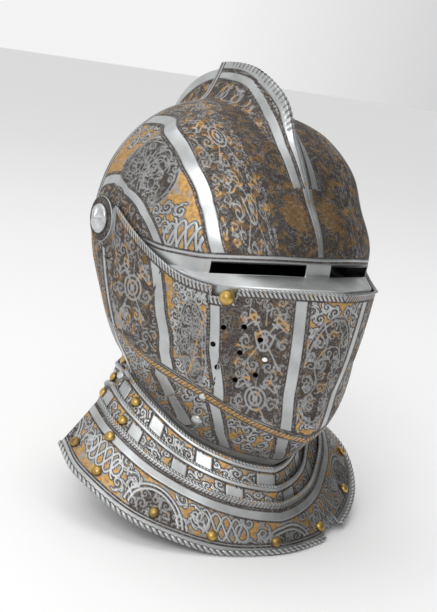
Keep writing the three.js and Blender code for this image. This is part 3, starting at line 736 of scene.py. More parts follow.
PLATE = etched_steel("etched_steel")
POLISHED = plain_metal("polished_steel", (0.42, 0.43, 0.43), (0.66, 0.67, 0.68), 0.3)
WORN_BRASS = plain_metal("worn_brass", (0.36, 0.23, 0.06), (0.62, 0.43, 0.14), 0.36)
TARNISHED_BRASS = plain_metal("tarnished_brass", (0.17, 0.11, 0.05), (0.45, 0.3, 0.1), 0.45)


def table_at(value, pairs):
    """A short table of value pairs, read in straight steps."""
    at, result = zip(*pairs)
    return np.interp(value, at, result)


def etched_shell(outer, inner, marks, **ring):
    """Points, faces and point values of a ring shell whose etched ground is sunk."""
    points, faces = ring_shell(sunk(outer, ETCH_DEPTH * marks.etch + marks.cut), inner, **ring)
    values = {
        "etch": on_both(marks.etch, inner.shape),
        "gilt": on_both(marks.gilt, inner.shape),
        "inside": on_both(np.zeros(outer.shape[:2]), inner.shape, 1.0),
    }
    return points, faces, values


def add_plate(name, outer, inner, marks, body, nodes, **ring):
    """An etched plate: one etched shell as a piece."""
    points, faces, values = etched_shell(outer, inner, marks, **ring)
    return add_piece(name, points, faces, body, nodes, PLATE, values)


def add_rope(name, path, radius, pitch, body, gilt=0.35):
    """A roped edge in the plates' own finish."""
    points, faces, etch = rope(path, radius, pitch)
    values = {"etch": etch * 0.9, "gilt": np.full(len(points), gilt), "inside": np.zeros(len(points))}
    return add_piece(name, points, faces, body, [], PLATE, values)


SIDES = (("right", -1.0), ("left", 1.0))

# Visor
VISOR_BAND = ((-12, 107), (0, 102), (19, 88.5), (36, 82.8), (56, 78), (92, 73), (110, 72))
PIVOT_BAND = ((-12, 71), (-9, 69.5), (1, 61), (16, 48), (45, 33.7), (94, 28), (130, 26))
COMB_BAND = ((0, 5.5), (20, 6.2), (27, 8.1), (41, 9.3), (59, 8.4), (77, 5.6), (100, 5))
CREST_STRIP = ((-5, 2.0), (20, 4.0), (40, 6.5), (60, 9.0), (90, 10.0))
SKIRT = 13.0


def visor_skin(x, inset, counts):
    """Visor columns: up the shelf's front, in along its top, up through the sight and over the dome."""
    def below_shelf(points):
        return np.interp(points[..., 1], *SHELF_LINE) - inset - points[..., 2]

    def before_rear(points):
        return np.interp(points[..., 2], VISOR_REAR[:, 1], VISOR_REAR[:, 0]) - points[..., 1]

    def below_rim(points):
        edge = np.minimum(np.interp(points[..., 1], *SHELF_LINE), np.interp(points[..., 1], *TOP_LINE) + 1.6)
        return edge - inset - points[..., 2]

    rim = edge_angle(SHELF, x, inset, -60, 20, below_rim)
    foot = edge_angle(VISOR, x, inset, -60, 20, below_shelf)
    bottom = rim - np.degrees(np.minimum(SKIRT / form_radius(SHELF, rim, x, inset), 0.5))
    sight = foot + np.degrees(SIGHT[2] / np.maximum(form_radius(VISOR, foot, x, inset), 20))
    rear = edge_angle(VISOR, x, inset, 60, 185, before_rear)
    front, _ = strip(SHELF, x, inset, bottom, rim, counts[0])
    share = np.linspace(0, 1, counts[1])[None, :, None]
    foot_points = form_points(VISOR, foot, x, inset)
    top = front[:, -1:] + (foot_points[:, None] - front[:, -1:]) * share
    slot, _ = strip(VISOR, x, inset, foot, sight, counts[2])
    dome, _ = strip(VISOR, x, inset, sight, rear, counts[3])
    low = counts[0] + counts[1] - 2
    points = np.concatenate([front[:, :-1], top[:, :-1], slot[:, :-1], dome], 1)
    return points, low, low + counts[2] - 1, sight, rear


def visor_marks(points, high, sight, rear):
    """The visor's bands, trophy panel, medallion, knot and comb ornament, with a painted highlight of gilding
    on the brow.
    """
    x = np.abs(points[..., 0])
    y = points[..., 1]
    z = points[..., 2]
    radius = np.hypot(y, z)
    angle = np.degrees(np.arctan2(z, -y))
    across, _ = arc_lengths(points)
    dome = np.zeros(x.shape, dtype=bool)
    dome[:, high:] = True
    wide = from_line(radius, table_at(angle, VISOR_BAND), across)
    near = from_line(radius, table_at(angle, PIVOT_BAND), across)
    comb = from_line(x, table_at(angle, COMB_BAND), across)
    crest = table_at(angle, CREST_STRIP)
    brow = np.radians(angle - sight[:, None]) * radius
    back = np.radians(rear[:, None] - angle) * radius
    body = dome & (brow > 5) & (back > 6)
    banded = angle > 24
    marks = Etching(x.shape)
    height = np.radians(angle) * 92
    strokes = []
    kept = []
    for k, place in enumerate((27, 79, 128)):
        strokes += trophy((-41 + 5 * (k % 2), place), 24 - 2 * k, 11 + k)
        kept.append(((-41 + 5 * (k % 2), place), 23))
    strokes += filler((-80, 0), (-6, 165), 9.5, 5, (3.0, 4.4), kept)
    marks.panel(body & (wide < 0) & np.where(banded, comb > 0, across > crest), wide, height, strokes, 0.42)
    between = body & (wide > 0) & (near < 0)
    oval = ((y + 34) / 29) ** 2 + ((z - 38) / 25) ** 2
    strokes = medallion((-34, 38), 29, 25, 0.7) + filler((-64, 8), (-4, 66), 8.5, 6, (2.4, 3.4))
    marks.panel(between & (oval < 1.02), y, z, strokes, 0.1)
    strokes = knot((-84, 4), 24, 22, 1.3) + filler((-78, 14), (-30, 24), 9, 7, (3.0, 4.0))
    strokes += filler((-72, -14), (-40, 14), 9, 7, (3.0, 4.2))
    strokes += filler((-64, 50), (24, 90), 10, 8, (3.0, 4.4))
    marks.strapwork(between & (oval >= 1.02), y, z, strokes)
    marks.panel(body & (near > 0), y, z, filler((-80, -20), (20, 40), 8.5, 9), 0.4)
    strokes = filler((0, 0), (40, 190), 7.0, 10, (2.4, 3.4))
    flank = body & banded & (comb <= 0) & (across > crest)
    marks.strapwork(flank, across, np.radians(angle) * 112, strokes, 0.8)
    marks.band(np.where(body, wide, 99), 6.6)
    marks.band(np.where(body, near, 99), 5.6)
    marks.band(np.where(body & banded, comb, 99), 5.0)
    marks.lines(np.where(dome, brow, 99), (1.5, 4.6))
    marks.lines(np.where(dome & (brow > 4), back, 99), (2.2, 5.6))
    marks.lines(np.where(body, across - crest, 99), (0.0,), 0.5)
    groove = np.clip(2.2 * np.sin(2 * np.pi * np.radians(angle) * 118 / 4.4) - 0.9, 0, 1)
    groove = groove * (dome & (across < 0.62 * crest) & (angle > 46) & (angle < 93))
    marks.cut += 0.5 * groove
    marks.etch = np.maximum(marks.etch, 0.75 * groove)
    # Painted highlight: a soft round spot of full gilding on the brow beside the median, standing in for
    # light caught there
    painted_brow_highlight = np.exp(-((across - 15) / 11) ** 2 - ((angle - 15) / 7) ** 2)
    marks.gilt = np.where(body & (wide < 0), np.maximum(marks.gilt, 1.3 * painted_brow_highlight), marks.gilt)
    return marks


def wall_between(outer, inner):
    """Quads that join two rows of point numbers."""
    return np.stack([outer[:-1], outer[1:], inner[1:], inner[:-1]], -1).tolist()


for hand, side in SIDES:
    widths = snap(half_widths(VISOR, side, 190, 42, 18.0), [side * SIGHT[0], side * SIGHT[1]])
    skin, low, high, sight, rear = visor_skin(widths, 0.0, (6, 24, 5, 250))
    lining, low_in, high_in, _, _ = visor_skin(widths, WALL, (3, 5, 5, 30))
    off_centre = np.abs(widths)
    inside_sight = (off_centre >= SIGHT[0] - SNAP_SLACK) & (off_centre <= SIGHT[1] + SNAP_SLACK)
    gap = inside_sight[:-1] & inside_sight[1:]
    open_skin = np.zeros((len(widths) - 1, skin.shape[1] - 1), dtype=bool)
    open_skin[:, low:high] = gap[:, None]
    open_lining = np.zeros((len(widths) - 1, lining.shape[1] - 1), dtype=bool)
    open_lining[:, low_in:high_in] = gap[:, None]
    index = np.arange(len(widths) * (skin.shape[1] + lining.shape[1])).reshape(len(widths), -1)
    skin_at = index[:, :skin.shape[1]]
    lining_at = index[:, :skin.shape[1] - 1:-1]
    first, last = np.flatnonzero(inside_sight)[[0, -1]]
    walls = [
        wall_between(skin_at[first:last + 1, row], lining_at[first:last + 1, row_in])
        for row, row_in in ((low, low_in), (high, high_in))
    ]
    walls += [wall_between(skin_at[c, low:high + 1], lining_at[c, low_in:high_in + 1]) for c in (first, last)]
    marks = visor_marks(skin, high, sight, rear)
    add_plate(f"visor_{hand}", skin, lining, marks, "visor", ["visor"],
              open_outer=open_skin, open_inner=open_lining, walls=walls)


# Upper bevor
def bevor_end(points):
    """Inside the upper bevor: above its slanting foot and ahead of its rear edge."""
    foot = points[..., 2] - np.interp(points[..., 1], *FOOT_LINE)
    rear = np.interp(points[..., 2], (-68, -50, -28, 0), (-8, -1, 9, 16)) - points[..., 1]
    return np.minimum(np.where(points[..., 1] < -8, foot, 99), np.where(points[..., 2] > -68, rear, 99))


def bevor_top(x):
    """Inside the upper bevor: below its top edge, which is notched for the lifting peg."""
    notch = np.where((x >= NOTCH[0]) & (x <= NOTCH[1]), NOTCH[2], 0.0)

    def level(points):
        return np.interp(points[..., 1], *TOP_LINE) - notch[:, None] - points[..., 2]
    return level


BEVOR_BANDS = (
    (((-125, 56), (-110, 66), (-95, 74), (-74, 80.3), (-51, 84.8), (-25, 88.7), (-10, 91)), 6.0),
    (((-140, 33), (-125, 43), (-101, 54), (-64, 62.6), (-30, 68), (-10, 71)), 5.2),
    (((-140, 4), (-125, 11), (-110, 16.5), (-68, 22), (-27, 26.4), (-10, 28)), 5.6),
)


def bevor_marks(points, top, end, angle):
    """The upper bevor's bands, medallions, trophies and borders."""
    x = np.abs(points[..., 0])
    y = points[..., 1]
    z = points[..., 2]
    radius = np.hypot(y, z)
    across, _ = arc_lengths(points)
    outer, middle, inner = (from_line(x, table_at(z, table), across) for table, _ in BEVOR_BANDS)
    upper = np.radians(top[:, None] - angle) * radius
    lower = np.radians(angle - end[:, None]) * radius
    body = (upper > 5.6) & (lower > 8)
    marks = Etching(x.shape)
    oval = (across / 21) ** 2 + ((z + 68) / 40) ** 2
    strokes = [(circle_path((0, -68), r, 19 + r, count=60), 1.2) for r in (20.4, 17.6)]
    strokes += foliage((0, -100), (16, -34), 1.3, 15) + filler((0, -125), (30, -18), 8.5, 21)
    marks.panel(body & (inner < 0) & (oval < 1), across, z, strokes, 0.3)
    strokes = filler((0, -130), (34, -14), 9, 26, (3.0, 4.4))
    marks.strapwork(body & (inner < 0) & (oval >= 1), across, z, strokes)
    kept = (((23, -50), 20), ((24, -92), 18))
    strokes = trophy((23, -50), 19, 31) + trophy((24, -92), 17, 32)
    strokes += filler((2, -125), (46, -20), 8.5, 22, (2.6, 4.0), kept)
    marks.panel(body & (inner > 0) & (middle < 0), inner, z, strokes, 0.36)
    oval = ((middle - 18.5) / 13) ** 2 + ((z + 62) / 29.5) ** 2
    strokes = medallion((18.5, -62), 12.6, 29, 1.1) + filler((4, -95), (33, -30), 7, 23, (2.0, 3.0))
    marks.panel(body & (middle > 0) & (outer < 0) & (oval < 1.02), middle, z, strokes, 0.12)
    strokes = filler((0, -130), (40, -8), 8, 24, (2.8, 4.0))
    marks.strapwork(body & (middle > 0) & (outer < 0) & (oval >= 1.02), middle, z, strokes)
    kept = (((-48, -38), 19), ((-31, -66), 12))
    strokes = trophy((-48, -38), 18, 33) + trophy((-31, -66), 11, 34)
    strokes += filler((-100, -90), (20, 16), 8.5, 25, (2.6, 4.0), kept)
    marks.panel(body & (outer > 0), y, z, strokes, 0.36)
    for distance, (_, half) in zip((outer, middle, inner), BEVOR_BANDS):
        marks.band(np.where(body, distance, 99), half)
    stripe = (y + 5) * 0.97 - (z + 3.8) * 0.24
    marks.band(np.where(body & (outer > 6) & (z < 8), stripe, 99), 3.4)
    for edge, gilt in ((upper, 0.25), (lower, 0.75)):
        hatch = np.clip(0.5 + np.sin(2 * np.pi * (across + 0.7 * edge) / 2.9), 0, 1)
        border = (edge > 0.8) & (edge < 5.2)
        marks.etch[border] = 0.9 * hatch[border]
        marks.gilt[border] = gilt
    marks.lines(lower, (0.9, 5.6, 7.2), 0.6)
    marks.lines(upper, (5.4,), 0.6)
    return marks


def drilled(points, faces, holes, radius, reach=7.0):
    """Cuts round holes: faces with every point inside go, and points left inside move out to the rim."""
    quads = np.array([face for face in faces if len(face) == 4])
    rest = [face for face in faces if len(face) != 4]
    moved = points.copy()
    for centre, axis in holes:
        gap = points - centre
        depth = gap @ axis
        flat = gap - depth[:, None] * axis
        away = np.linalg.norm(flat, axis=1)
        inside = (away < radius) & (np.abs(depth) < reach)
        quads = quads[~inside[quads].all(1)]
        rim = centre + depth[:, None] * axis + flat * (radius / np.maximum(away, 1e-6))[:, None]
        moved[inside] = rim[inside]
    return moved, quads.tolist() + rest


def breath_axis(skin, x, z):
    """The grid point nearest a breath's place in the front view, and the direction out of the plate there."""
    fit = (skin[..., 0] - x) ** 2 + (skin[..., 2] - z) ** 2
    i, j = np.unravel_index(fit.argmin(), fit.shape)
    out = np.cross(skin[i + 1, j] - skin[i - 1, j], skin[i, j + 1] - skin[i, j - 1])
    out /= np.linalg.norm(out) * np.sign(out @ (skin[i, j] - np.array([0, -20, -40.0])))
    return skin[i, j], out


def breath_tube(centre, out, base):
    """The wall of a breath: two circles a wall apart, joined, their points numbered from a base."""
    turn = np.linspace(0, 2 * np.pi, BREATH_SIDES, endpoint=False)
    level = np.cross(out, [0.0, 0.0, 1.0])
    level /= np.linalg.norm(level)
    circle = np.cos(turn)[:, None] * level + np.sin(turn)[:, None] * np.cross(out, level)
    rim = centre + BREATH_RADIUS * circle
    here = base + np.arange(BREATH_SIDES)
    ahead = np.roll(here, -1)
    faces = np.stack([here, ahead, ahead + BREATH_SIDES, here + BREATH_SIDES], -1).tolist()
    return np.concatenate([rim, rim - (WALL + 0.1) * out]), faces


for hand, side in SIDES:
    places = [NOTCH[0], NOTCH[0] - 0.15, NOTCH[1], NOTCH[1] + 0.15] if side < 0 else []
    widths = snap(half_widths(BEVOR, side, 265), places)
    skins = []
    for inset in (0.0, WALL):
        top = edge_angle(BEVOR, widths, inset, -25, 60, bevor_top(widths))
        end = edge_angle(BEVOR, widths, inset, -25, -186, bevor_end)
        skins.append((*strip(BEVOR, widths, inset, top, end, 150), top, end))
    (skin, angle, top, end), (lining, _, _, _) = skins
    marks = bevor_marks(skin, top, end, angle)
    points, faces, values = etched_shell(skin, lining, marks)
    if side < 0:
        holes = [breath_axis(skin, *place) for place in BREATHS]
        points, faces = drilled(points, faces, holes, BREATH_RADIUS)
        for centre, out in holes:
            tube, tube_faces = breath_tube(centre, out, len(points))
            points = np.concatenate([points, tube])
            faces += tube_faces
            for key, value in (("etch", 1.0), ("gilt", 0.0), ("inside", 0.4)):
                values[key] = np.concatenate([values[key], np.full(len(tube), value)])
    add_piece(f"upper_bevor_{hand}", points, faces, "upper_bevor", ["upper_bevor"],
              PLATE, values)
    edge = skin[:, 0] + np.array([side * 0.3, -0.5, -0.2])
    clear_of_arm = np.hypot(edge[:, 1], edge[:, 2]) > ARM_RADIUS + 3
    add_rope(f"upper_bevor_rope_{hand}", edge[clear_of_arm], 0.8, 2.9, "upper_bevor", 0.15)
    arm = np.array([
        [0.0, 0.15], [ARM_RADIUS - 1.6, 0.1], [ARM_RADIUS - 0.4, 0.0], [ARM_RADIUS, -0.3],
        [ARM_RADIUS, -WALL], [0.0, -WALL],
    ])
    points, faces = turned(arm, 64, np.array([side * HALF, 0, 0]), np.array([side, 0.0, 0.0]))
    etch = np.repeat([0.9, 0.9, 0.9, 0.0, 0.0, 0.0], 64)
    values = {"etch": etch, "gilt": 0.3 * etch, "inside": np.zeros(len(etch))}
    add_piece(f"upper_bevor_arm_{hand}", points, faces, "upper_bevor", ["upper_bevor"],
              PLATE, values)


# Lower bevor
NECK_STRIP = 13.0


def above_neck(points):
    """Inside above the neck line, whose height follows the azimuth round the neck."""
    azimuth = np.degrees(np.arctan2(np.abs(points[..., 0]), -(points[..., 1] - GORGET_CENTRE)))
    return points[..., 2] - column(NECK, azimuth, 1)


def chin_end(points):
    """Inside the lower bevor: above the neck and ahead of its rear edge."""
    return np.minimum(above_neck(points), CHIN_BACK - points[..., 1])


def walk(form, x, inset, start, stop, level):
    """As edge_angle, from a start of each column's own."""
    share = np.linspace(0, 1, 500)[None, :]
    angle = start[:, None] + (stop - start)[:, None] * share
    value = level(form_points(form, angle, x[:, None], inset))
    outside = value < 0
    outside[:, -1] = True
    first = np.maximum(outside.argmax(1), 1)
    return angle[np.arange(len(x)), first]


for hand, side in SIDES:
    widths = half_widths(CHIN, side, 250, last=78.0)
    skins = []
    for inset, count in ((0.0, 110), (WALL, 12)):
        covered = edge_angle(CHIN, widths, inset, -25, -186, bevor_end)
        top = covered + np.degrees(LAP / form_radius(CHIN, covered, widths, inset))
        end = walk(CHIN, widths, inset, covered - 0.3, np.full(len(widths), -200.0), chin_end)
        skins.append((*strip(CHIN, widths, inset, top, end, count), end))
    (skin, angle, end), (lining, _, _) = skins
    x, y, z = np.abs(skin[..., 0]), skin[..., 1], skin[..., 2]
    across, _ = arc_lengths(skin)
    lower = np.radians(angle - end[:, None]) * np.hypot(y, z)
    marks = Etching(x.shape)
    marks.strapwork(lower > NECK_STRIP, across, z, filler((0, -160), (230, -30), 9, 41, (3.2, 4.6)), 0.95)
    for table, half in BEVOR_BANDS:
        distance = from_line(x, table_at(z, table), across)
        marks.band(np.where(lower > NECK_STRIP, distance, 99), half)
    plain = (lower > 1.4) & (lower <= NECK_STRIP)
    marks.etch[plain] = 0.4
    marks.lines(lower, (NECK_STRIP + 0.4,))
    add_plate(f"lower_bevor_{hand}", skin, lining, marks, "lower_bevor", ["lower_bevor"])


# Skull
def skull_front(points):
    """Inside the skull: behind its front edge."""
    return points[..., 1] - np.interp(points[..., 2], SKULL_FRONT[:, 1], SKULL_FRONT[:, 0])


def skull_end(points):
    """Inside the skull: above the neck and behind its front edge."""
    return np.minimum(above_neck(points), skull_front(points))


for hand, side in SIDES:
    widths = half_widths(SKULL, side, 150, 34, 15.3, 82.0)
    skins = []
    for inset, count in ((0.0, 250), (WALL, 30)):
        begin = edge_angle(SKULL, widths, inset, 100, -40, skull_front)
        end = edge_angle(SKULL, widths, inset, 120, 300, skull_end)
        skins.append((*strip(SKULL, widths, inset, begin, end, count), end))
    (skin, angle, end), (lining, _, _) = skins
    x, y, z = np.abs(skin[..., 0]), skin[..., 1], skin[..., 2]
    across, _ = arc_lengths(skin)
    height = np.radians(angle) * 90
    lower = np.radians(end[:, None] - angle) * np.hypot(y, z)
    comb = from_line(x, 11.0 + 0 * x, across)
    wide = from_line(x, 60.0 + 0 * x, across)
    near = from_line(x, 85.0 + 0 * x, across)
    body = (lower > 7) & (angle > 80)
    marks = Etching(x.shape)
    strokes = []
    kept = []
    for k, place in enumerate((170, 222, 274, 326)):
        strokes += trophy((-30, place), 21, 51 + k)
        kept.append(((-30, place), 22))
    strokes += filler((-66, 120), (0, 380), 10.5, 55, (3.0, 4.4), kept)
    marks.panel(body & (comb > 0) & (wide < 0), wide, height, strokes, 0.3)
    strokes = foliage((4, 120), (34, 380), 0.3, 24) + filler((0, 120), (40, 380), 12, 56)
    marks.panel(body & (wide > 0) & (near < 0), wide, height, strokes, 0.35)
    marks.panel(body & (near > 0), y, z, filler((-30, -60), (40, 40), 10, 57), 0.3)
    marks.panel(body & (comb < 0), across, height, filler((0, 120), (40, 380), 8.5, 58, (2.0, 3.0)), 0.5)
    for distance, half in ((comb, 3.2), (wide, 5.5), (near, 4.5)):
        marks.band(np.where(body, distance, 99), half)
    marks.lines(np.where(angle > 80, lower, 99), (2.0, 6.4))
    marks.etch[across < 8] = 0
    marks.gilt[across < 8] = 0
    marks.lines(np.where(body, across, 99), (8.4,), 0.5)
    add_plate(f"skull_{hand}", skin, lining, marks, "skull", ["skull"])


# Gorget plates
def gorget_grid(low, high, first, last, lift, count, rows):
    """Grid of gorget points between two azimuths and two shares; the last share may vary along the rim."""
    azimuth = np.linspace(low, high, count)
    stop = last(azimuth) if callable(last) else np.full(count, last)
    share = first + (stop - first)[:, None] * np.linspace(0, 1, rows)[None, :]
    return gorget_points(azimuth[:, None] + 0 * share, share, lift), azimuth, share


def broken_rim(azimuth):
    """The front rim's end share, with the piece that is broken out of it."""
    depth = BREAK[2] / PLATE_LENGTH
    ramp = np.clip(np.minimum(azimuth - BREAK[0], BREAK[1] - azimuth) / 1.3, 0, 1)
    return 1 - depth * ramp * (1 + 0.25 * np.sin(azimuth * 2.1))


def lame_marks(azimuth, share, grid, seed):
    """A lame's strip: etched and gilt, with plain rectangles along it."""
    reach = np.hypot(grid[..., 0], grid[..., 1] - GORGET_CENTRE).mean()
    along = np.radians(azimuth - azimuth[0])[:, None] * reach
    _, down = arc_lengths(grid)
    marks = Etching(share.shape)
    strip_zone = (down > 4.2) & (down < 15)
    step = np.mod(along + 7.0 * seed, 38.0)
    strokes = filler((0, 4), (along.max(), 15), 6.5, seed, (2.4, 3.4))
    marks.strapwork(strip_zone, along + 0 * down, down, strokes, 0.7)
    plain = strip_zone & (step > 26.0) & (down > 5.0)
    marks.etch[plain] = 0
    marks.gilt[plain] = 0
    edge = np.minimum(np.abs(step - 26.0), np.minimum(step, 38 - step))
    marks.lines(np.where(strip_zone, edge + 0 * down, 99), (0.0,))
    marks.lines(down, (3.6, 15.4))
    return marks


def rim_marks(azimuth, share, grid, seed):
    """The bottom plate's marks: border lines, a bright band, then scrolls, knots and half-round frames."""
    reach = np.hypot(grid[..., 0], grid[..., 1] - GORGET_CENTRE).mean()
    along = np.radians(azimuth - azimuth.mean())[:, None] * reach + 0 * share
    _, down = arc_lengths(grid)
    total = down.max(1, keepdims=True)
    up = total - down
    marks = Etching(share.shape)
    field = (down > 13) & (up > 8)
    length = np.abs(along).max()
    strokes = []
    frames = []
    for k, place in enumerate(np.arange(-length - 8, length + 40, 46.0)):
        if k % 2:
            strokes += knot((place, 23), 26, 17, 1.2)
        else:
            frames.append(place)
            strokes += [(circle_path((place, 36), r, r, np.pi, 2 * np.pi), 1.3) for r in (20, 17)]
        for hand in (-1, 1):
            strokes += leaf_scroll((place + 23 + hand * 5, 18 + 3 * hand), 4.8, seed + k, hand)
            strokes += leaf_scroll((place + 23 - hand * 5, 28 + 3 * hand), 4.4, seed - k, -hand)
    marks.strapwork(field, along, down, strokes, 0.7)
    for place in frames:
        inside = field & (np.hypot(along - place, down - 36) < 16)
        spray = filler((place - 18, 16), (place + 18, 40), 7.5, seed, (3.0, 4.0))
        marks.panel(inside, along, down, spray, 0.1)
    hatch = 0.5 + 0.5 * np.sin(2 * np.pi * (along + down) / 2.6)
    border = (down > 1.4) & (down < 3.6)
    marks.etch[border] = hatch[border]
    marks.lines(down, (4.2, 5.6, 12.6))
    marks.lines(up, (7.6, 5.6))
    return marks


HALVES = (("front", -FRONT_ARC, FRONT_ARC, "lower_bevor"), ("rear", REAR_ARC, 360 - REAR_ARC, "skull"))

for half, low, high, body in HALVES:
    for layer, (name, first, last) in enumerate(LAMES):
        lift = GORGET_STEP * (layer + 1)
        whole = name == "gorget_plate"
        stop = broken_rim if whole and half == "front" else last
        grid, azimuth, share = gorget_grid(low, high, first, stop, lift, 470, 74 if whole else 40)
        under, _, _ = gorget_grid(low, high, first, stop, lift - GORGET_WALL, 470, 6)
        if whole:
            marks = rim_marks(azimuth, share, grid, 60 + layer + int(abs(low)))
        else:
            marks = lame_marks(azimuth, share, grid, 70 + layer + int(abs(low)))
        add_plate(f"{half}_{name}_etched", grid, under, marks, body, [f"{half}_{name}"])
        add_rope(f"{half}_{name}_rope", grid[:, 0], 1.05, 2.5, body, 0.3)
        if whole:
            edge = grid[:, -2].copy()
            edge[:, 2] = np.maximum(edge[:, 2], FLOOR_LEVEL + 2.2)
            broken = (azimuth > BREAK[0]) & (azimuth < BREAK[1])
            cuts = np.flatnonzero(np.diff(broken.astype(int)))
            spans = np.split(np.arange(len(azimuth)), cuts + 1)
            for k, span in enumerate([span for span in spans if not broken[span[0]]]):
                add_rope(f"{half}_rim_rope_{k + 1}", edge[span], 1.9, 4.6, body, 0.0)
    collar, azimuth, share = gorget_grid(low + 3, high - 3, 0.0, 0.16, 0.0, 240, 14)
    under, _, _ = gorget_grid(low + 3, high - 3, 0.0, 0.16, -GORGET_WALL, 240, 4)
    marks = Etching(share.shape)
    marks.etch[:] = 0.6
    add_plate(f"{half}_neck_flange", collar, under, marks, body, [])


# Turned pieces
def dome(radius, rise, rows=9):
    """Profile of a domed head: a low quarter of an ellipse on a short wall."""
    turn = np.linspace(0, np.pi / 2, rows)
    cap = np.stack([radius * np.cos(turn), 0.18 * rise + 0.82 * rise * np.sin(turn)], -1)
    cap[-1, 0] = 0.02
    return np.concatenate([[[0.02, 0.0], [radius, 0.0]], cap])


def gorget_seat(azimuth, share, lift):
    """A place on the gorget and the direction out of it."""
    place = gorget_points(np.array(float(azimuth)), np.array(float(share)), lift)
    ahead = gorget_points(np.array(float(azimuth)), np.array(float(share)), lift + 1)
    return place, (ahead - place) / np.linalg.norm(ahead - place)


def add_turned(name, profile, sides, seat, axis, body, nodes, slot, material, **petals):
    """A turned piece that stands for a node."""
    points, faces = turned(profile, sides, seat, axis, **petals)
    return add_piece(name, points, faces, body, nodes, material)


for half, _, _, body in HALVES:
    for k, azimuth in enumerate(RIM_RIVETS[half]):
        seat, out = gorget_seat(azimuth, RIM_RIVET_SHARE, GORGET_STEP * len(LAMES) + RIVET[2])
        node = f"{half}_rim_rivet_{k + 1}"
        finish = TARNISHED_BRASS if k in (0, 2, 4) and half == "front" else WORN_BRASS
        add_turned(f"{node}_head", dome(RIVET[0], RIVET[1]), 28, seat, out, body, [node], "brass", finish)
    for hand, side in SIDES:
        for layer, (_, first, _) in enumerate(LAMES):
            azimuth = side * LAME_RIVET_AZIMUTH if half == "front" else 180 - side * LAME_RIVET_AZIMUTH
            lift = GORGET_STEP * (layer + 1) + RIVET[2]
            seat, out = gorget_seat(azimuth, first + LAME_RIVET_DROP, lift)
            node = f"{half}_lame_rivet_{hand}_{layer + 1}"
            head = dome(RIVET[0], RIVET[1])
            add_turned(f"{node}_head", head, 28, seat, out, body, [node], "brass", WORN_BRASS)

for hand, side in SIDES:
    head = dome(ROSETTE[0], ROSETTE[1], 12)[1:] + np.array([0, ROSETTE[2]])
    profile = np.concatenate([ROSETTE_SHANK, [[ROSETTE_SHANK[-1][0], ROSETTE[2]]], head])
    add_turned(f"pivot_rosette_{hand}_petals", profile, 96, np.zeros(3), np.array([side, 0.0, 0.0]), "skull",
               [f"pivot_rosette_{hand}"], "bright_steel", POLISHED, petals=4, depth=2.2)


def surface_normal(form, x, z):
    """Where a level line along Y meets a form, and the direction out of it there."""
    def place(at_x, at_z):
        reach = np.linspace(20, 220, 4000)
        angle = np.degrees(np.arctan2(at_z, reach))
        inside = np.hypot(reach, at_z) < form_radius(form, angle, np.full(4000, at_x))
        return np.array([at_x, -reach[inside][-1], at_z])
    out = np.cross(place(x + 1.5, z) - place(x - 1.5, z), place(x, z + 1.5) - place(x, z - 1.5))
    return place(x, z), out / np.linalg.norm(out)


seat, out = surface_normal(SHELF, *PEG_PLACE)
turn = np.linspace(-1.13, np.pi / 2, 16)
ball = np.stack([PEG[1] * np.cos(turn), PEG[2] + PEG[1] * np.sin(turn)], -1)
ball[-1, 0] = 0.02
peg = np.concatenate([[[0.02, 0.0], [PEG[0], 0.0]], ball])
add_turned("lifting_peg_ball", peg, 40, seat, out, "visor", ["lifting_peg"], "brass", WORN_BRASS)
for node, form, x, z, radius, rise, body in (
    ("catch_stud", BEVOR, -60.6, -98.6, 2.6, 1.8, "upper_bevor"),
    ("catch_button", CHIN, -54.5, -118.9, 4.2, 3.4, "lower_bevor"),
):
    seat, out = surface_normal(form, x, z)
    add_turned(f"{node}_head", dome(radius, rise), 32, seat, out, body, [node], "bright_steel", POLISHED)
seat, out = gorget_seat(*PIN_PLACE, GORGET_STEP + 0.2)
add_turned("neck_turning_pin_turned", PIN_PROFILE, 28, seat, out, "lower_bevor", ["neck_turning_pin"],
           "bright_steel", POLISHED)


# Floor, light and camera
def stage_plane(name, size, height, colour):
    """A level square for the helmet to stand on."""
    mesh = bpy.data.meshes.new(name)
    corners = [(x * size, y * size, height) for x, y in ((-1, -1), (1, -1), (1, 1), (-1, 1))]
    mesh.from_pydata(corners, [], [[0, 1, 2, 3]])
    material = bpy.data.materials.new(name)
    material.use_nodes = True
    shader = material.node_tree.nodes["Principled BSDF"]
    shader.inputs["Base Color"].default_value = (*colour, 1)
    shader.inputs["Roughness"].default_value = 0.9
    mesh.materials.append(material)
    plane = bpy.data.objects.new(name, mesh)
    bpy.context.collection.objects.link(plane)


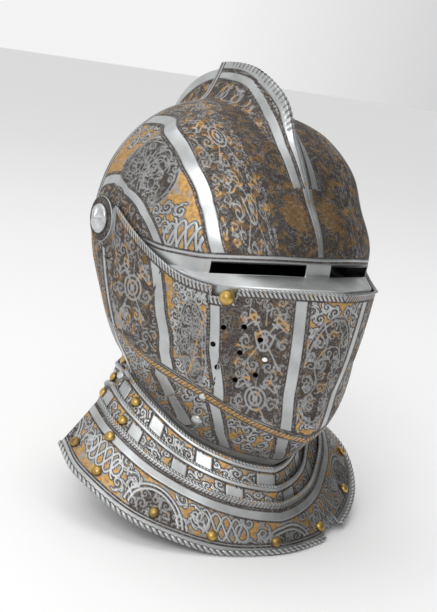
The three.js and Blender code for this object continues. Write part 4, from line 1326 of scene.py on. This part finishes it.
stage_plane("floor", 30.0, -0.0005, (0.97, 0.97, 0.97))
world = bpy.data.worlds.new("studio")
world.use_nodes = True
tree = world.node_tree
aim = tree.nodes.new("ShaderNodeVectorMath")
aim.operation = "DOT_PRODUCT"
aim.inputs[1].default_value = (0.86, -0.5, -0.1)
tree.links.new(tree.nodes.new("ShaderNodeTexCoord").outputs["Generated"], aim.inputs[0])
shade = tree.nodes.new("ShaderNodeValToRGB")
for stop, at, grey in zip(shade.color_ramp.elements, (0.05, 0.75), (1.0, 0.1)):
    stop.position = at
    stop.color = (grey, grey, grey, 1)
tree.links.new(aim.outputs["Value"], shade.inputs["Fac"])
tree.links.new(shade.outputs["Color"], tree.nodes["Background"].inputs["Color"])
tree.nodes["Background"].inputs["Strength"].default_value = 0.9
bpy.context.scene.world = world


def area_light(name, place, target, size, power):
    """A square lamp at a place, facing a target."""
    lamp = bpy.data.lights.new(name, "AREA")
    lamp.size = size
    lamp.energy = power
    lamp_object = bpy.data.objects.new(name, lamp)
    back = np.array(place, float) - np.array(target, float)
    back /= np.linalg.norm(back)
    right = np.cross([0, 0, 1.0], back)
    right /= np.linalg.norm(right)
    up = np.cross(back, right)
    rotation = Matrix(np.stack([right, up, back], 1).tolist()).to_4x4()
    lamp_object.matrix_world = Matrix.Translation(place) @ rotation
    bpy.context.collection.objects.link(lamp_object)


area_light("key", (-1.6, -1.2, 1.7), (0, 0, 0.2), 1.1, 20)
area_light("top", (-0.2, 0.3, 2.2), (0, 0, 0.2), 1.6, 8)
bpy.context.scene.view_settings.view_transform = "Standard"

# Camera by the photograph: turn, tilt and roll about the pivots, distance and lens in pixels
TURN, TILT, ROLL = -0.6207394, 0.2143683, 0.1523683
DISTANCE, FOCAL, SHIFT_RIGHT, SHIFT_UP = 809.134, 1072.513, -2.3287, 61.5169
level_right = np.array([np.cos(TURN), np.sin(TURN), 0])
back = np.array([np.sin(TURN) * np.cos(TILT), -np.cos(TURN) * np.cos(TILT), np.sin(TILT)])
level_up = np.array([-np.sin(TURN) * np.sin(TILT), np.cos(TURN) * np.sin(TILT), np.cos(TILT)])
right = level_right * np.cos(ROLL) + level_up * np.sin(ROLL)
up = -level_right * np.sin(ROLL) + level_up * np.cos(ROLL)
place = (DISTANCE * back - SHIFT_RIGHT * right - SHIFT_UP * up + PIVOT) * MM
camera = bpy.data.cameras.new("camera")
camera.sensor_width = 36.0
camera.lens = FOCAL / 612 * 36
camera.clip_start = 0.01
camera_object = bpy.data.objects.new("camera", camera)
rotation = Matrix(np.stack([right, up, back], 1).tolist()).to_4x4()
camera_object.matrix_world = Matrix.Translation(place.tolist()) @ rotation
bpy.context.collection.objects.link(camera_object)
bpy.context.scene.camera = camera_object
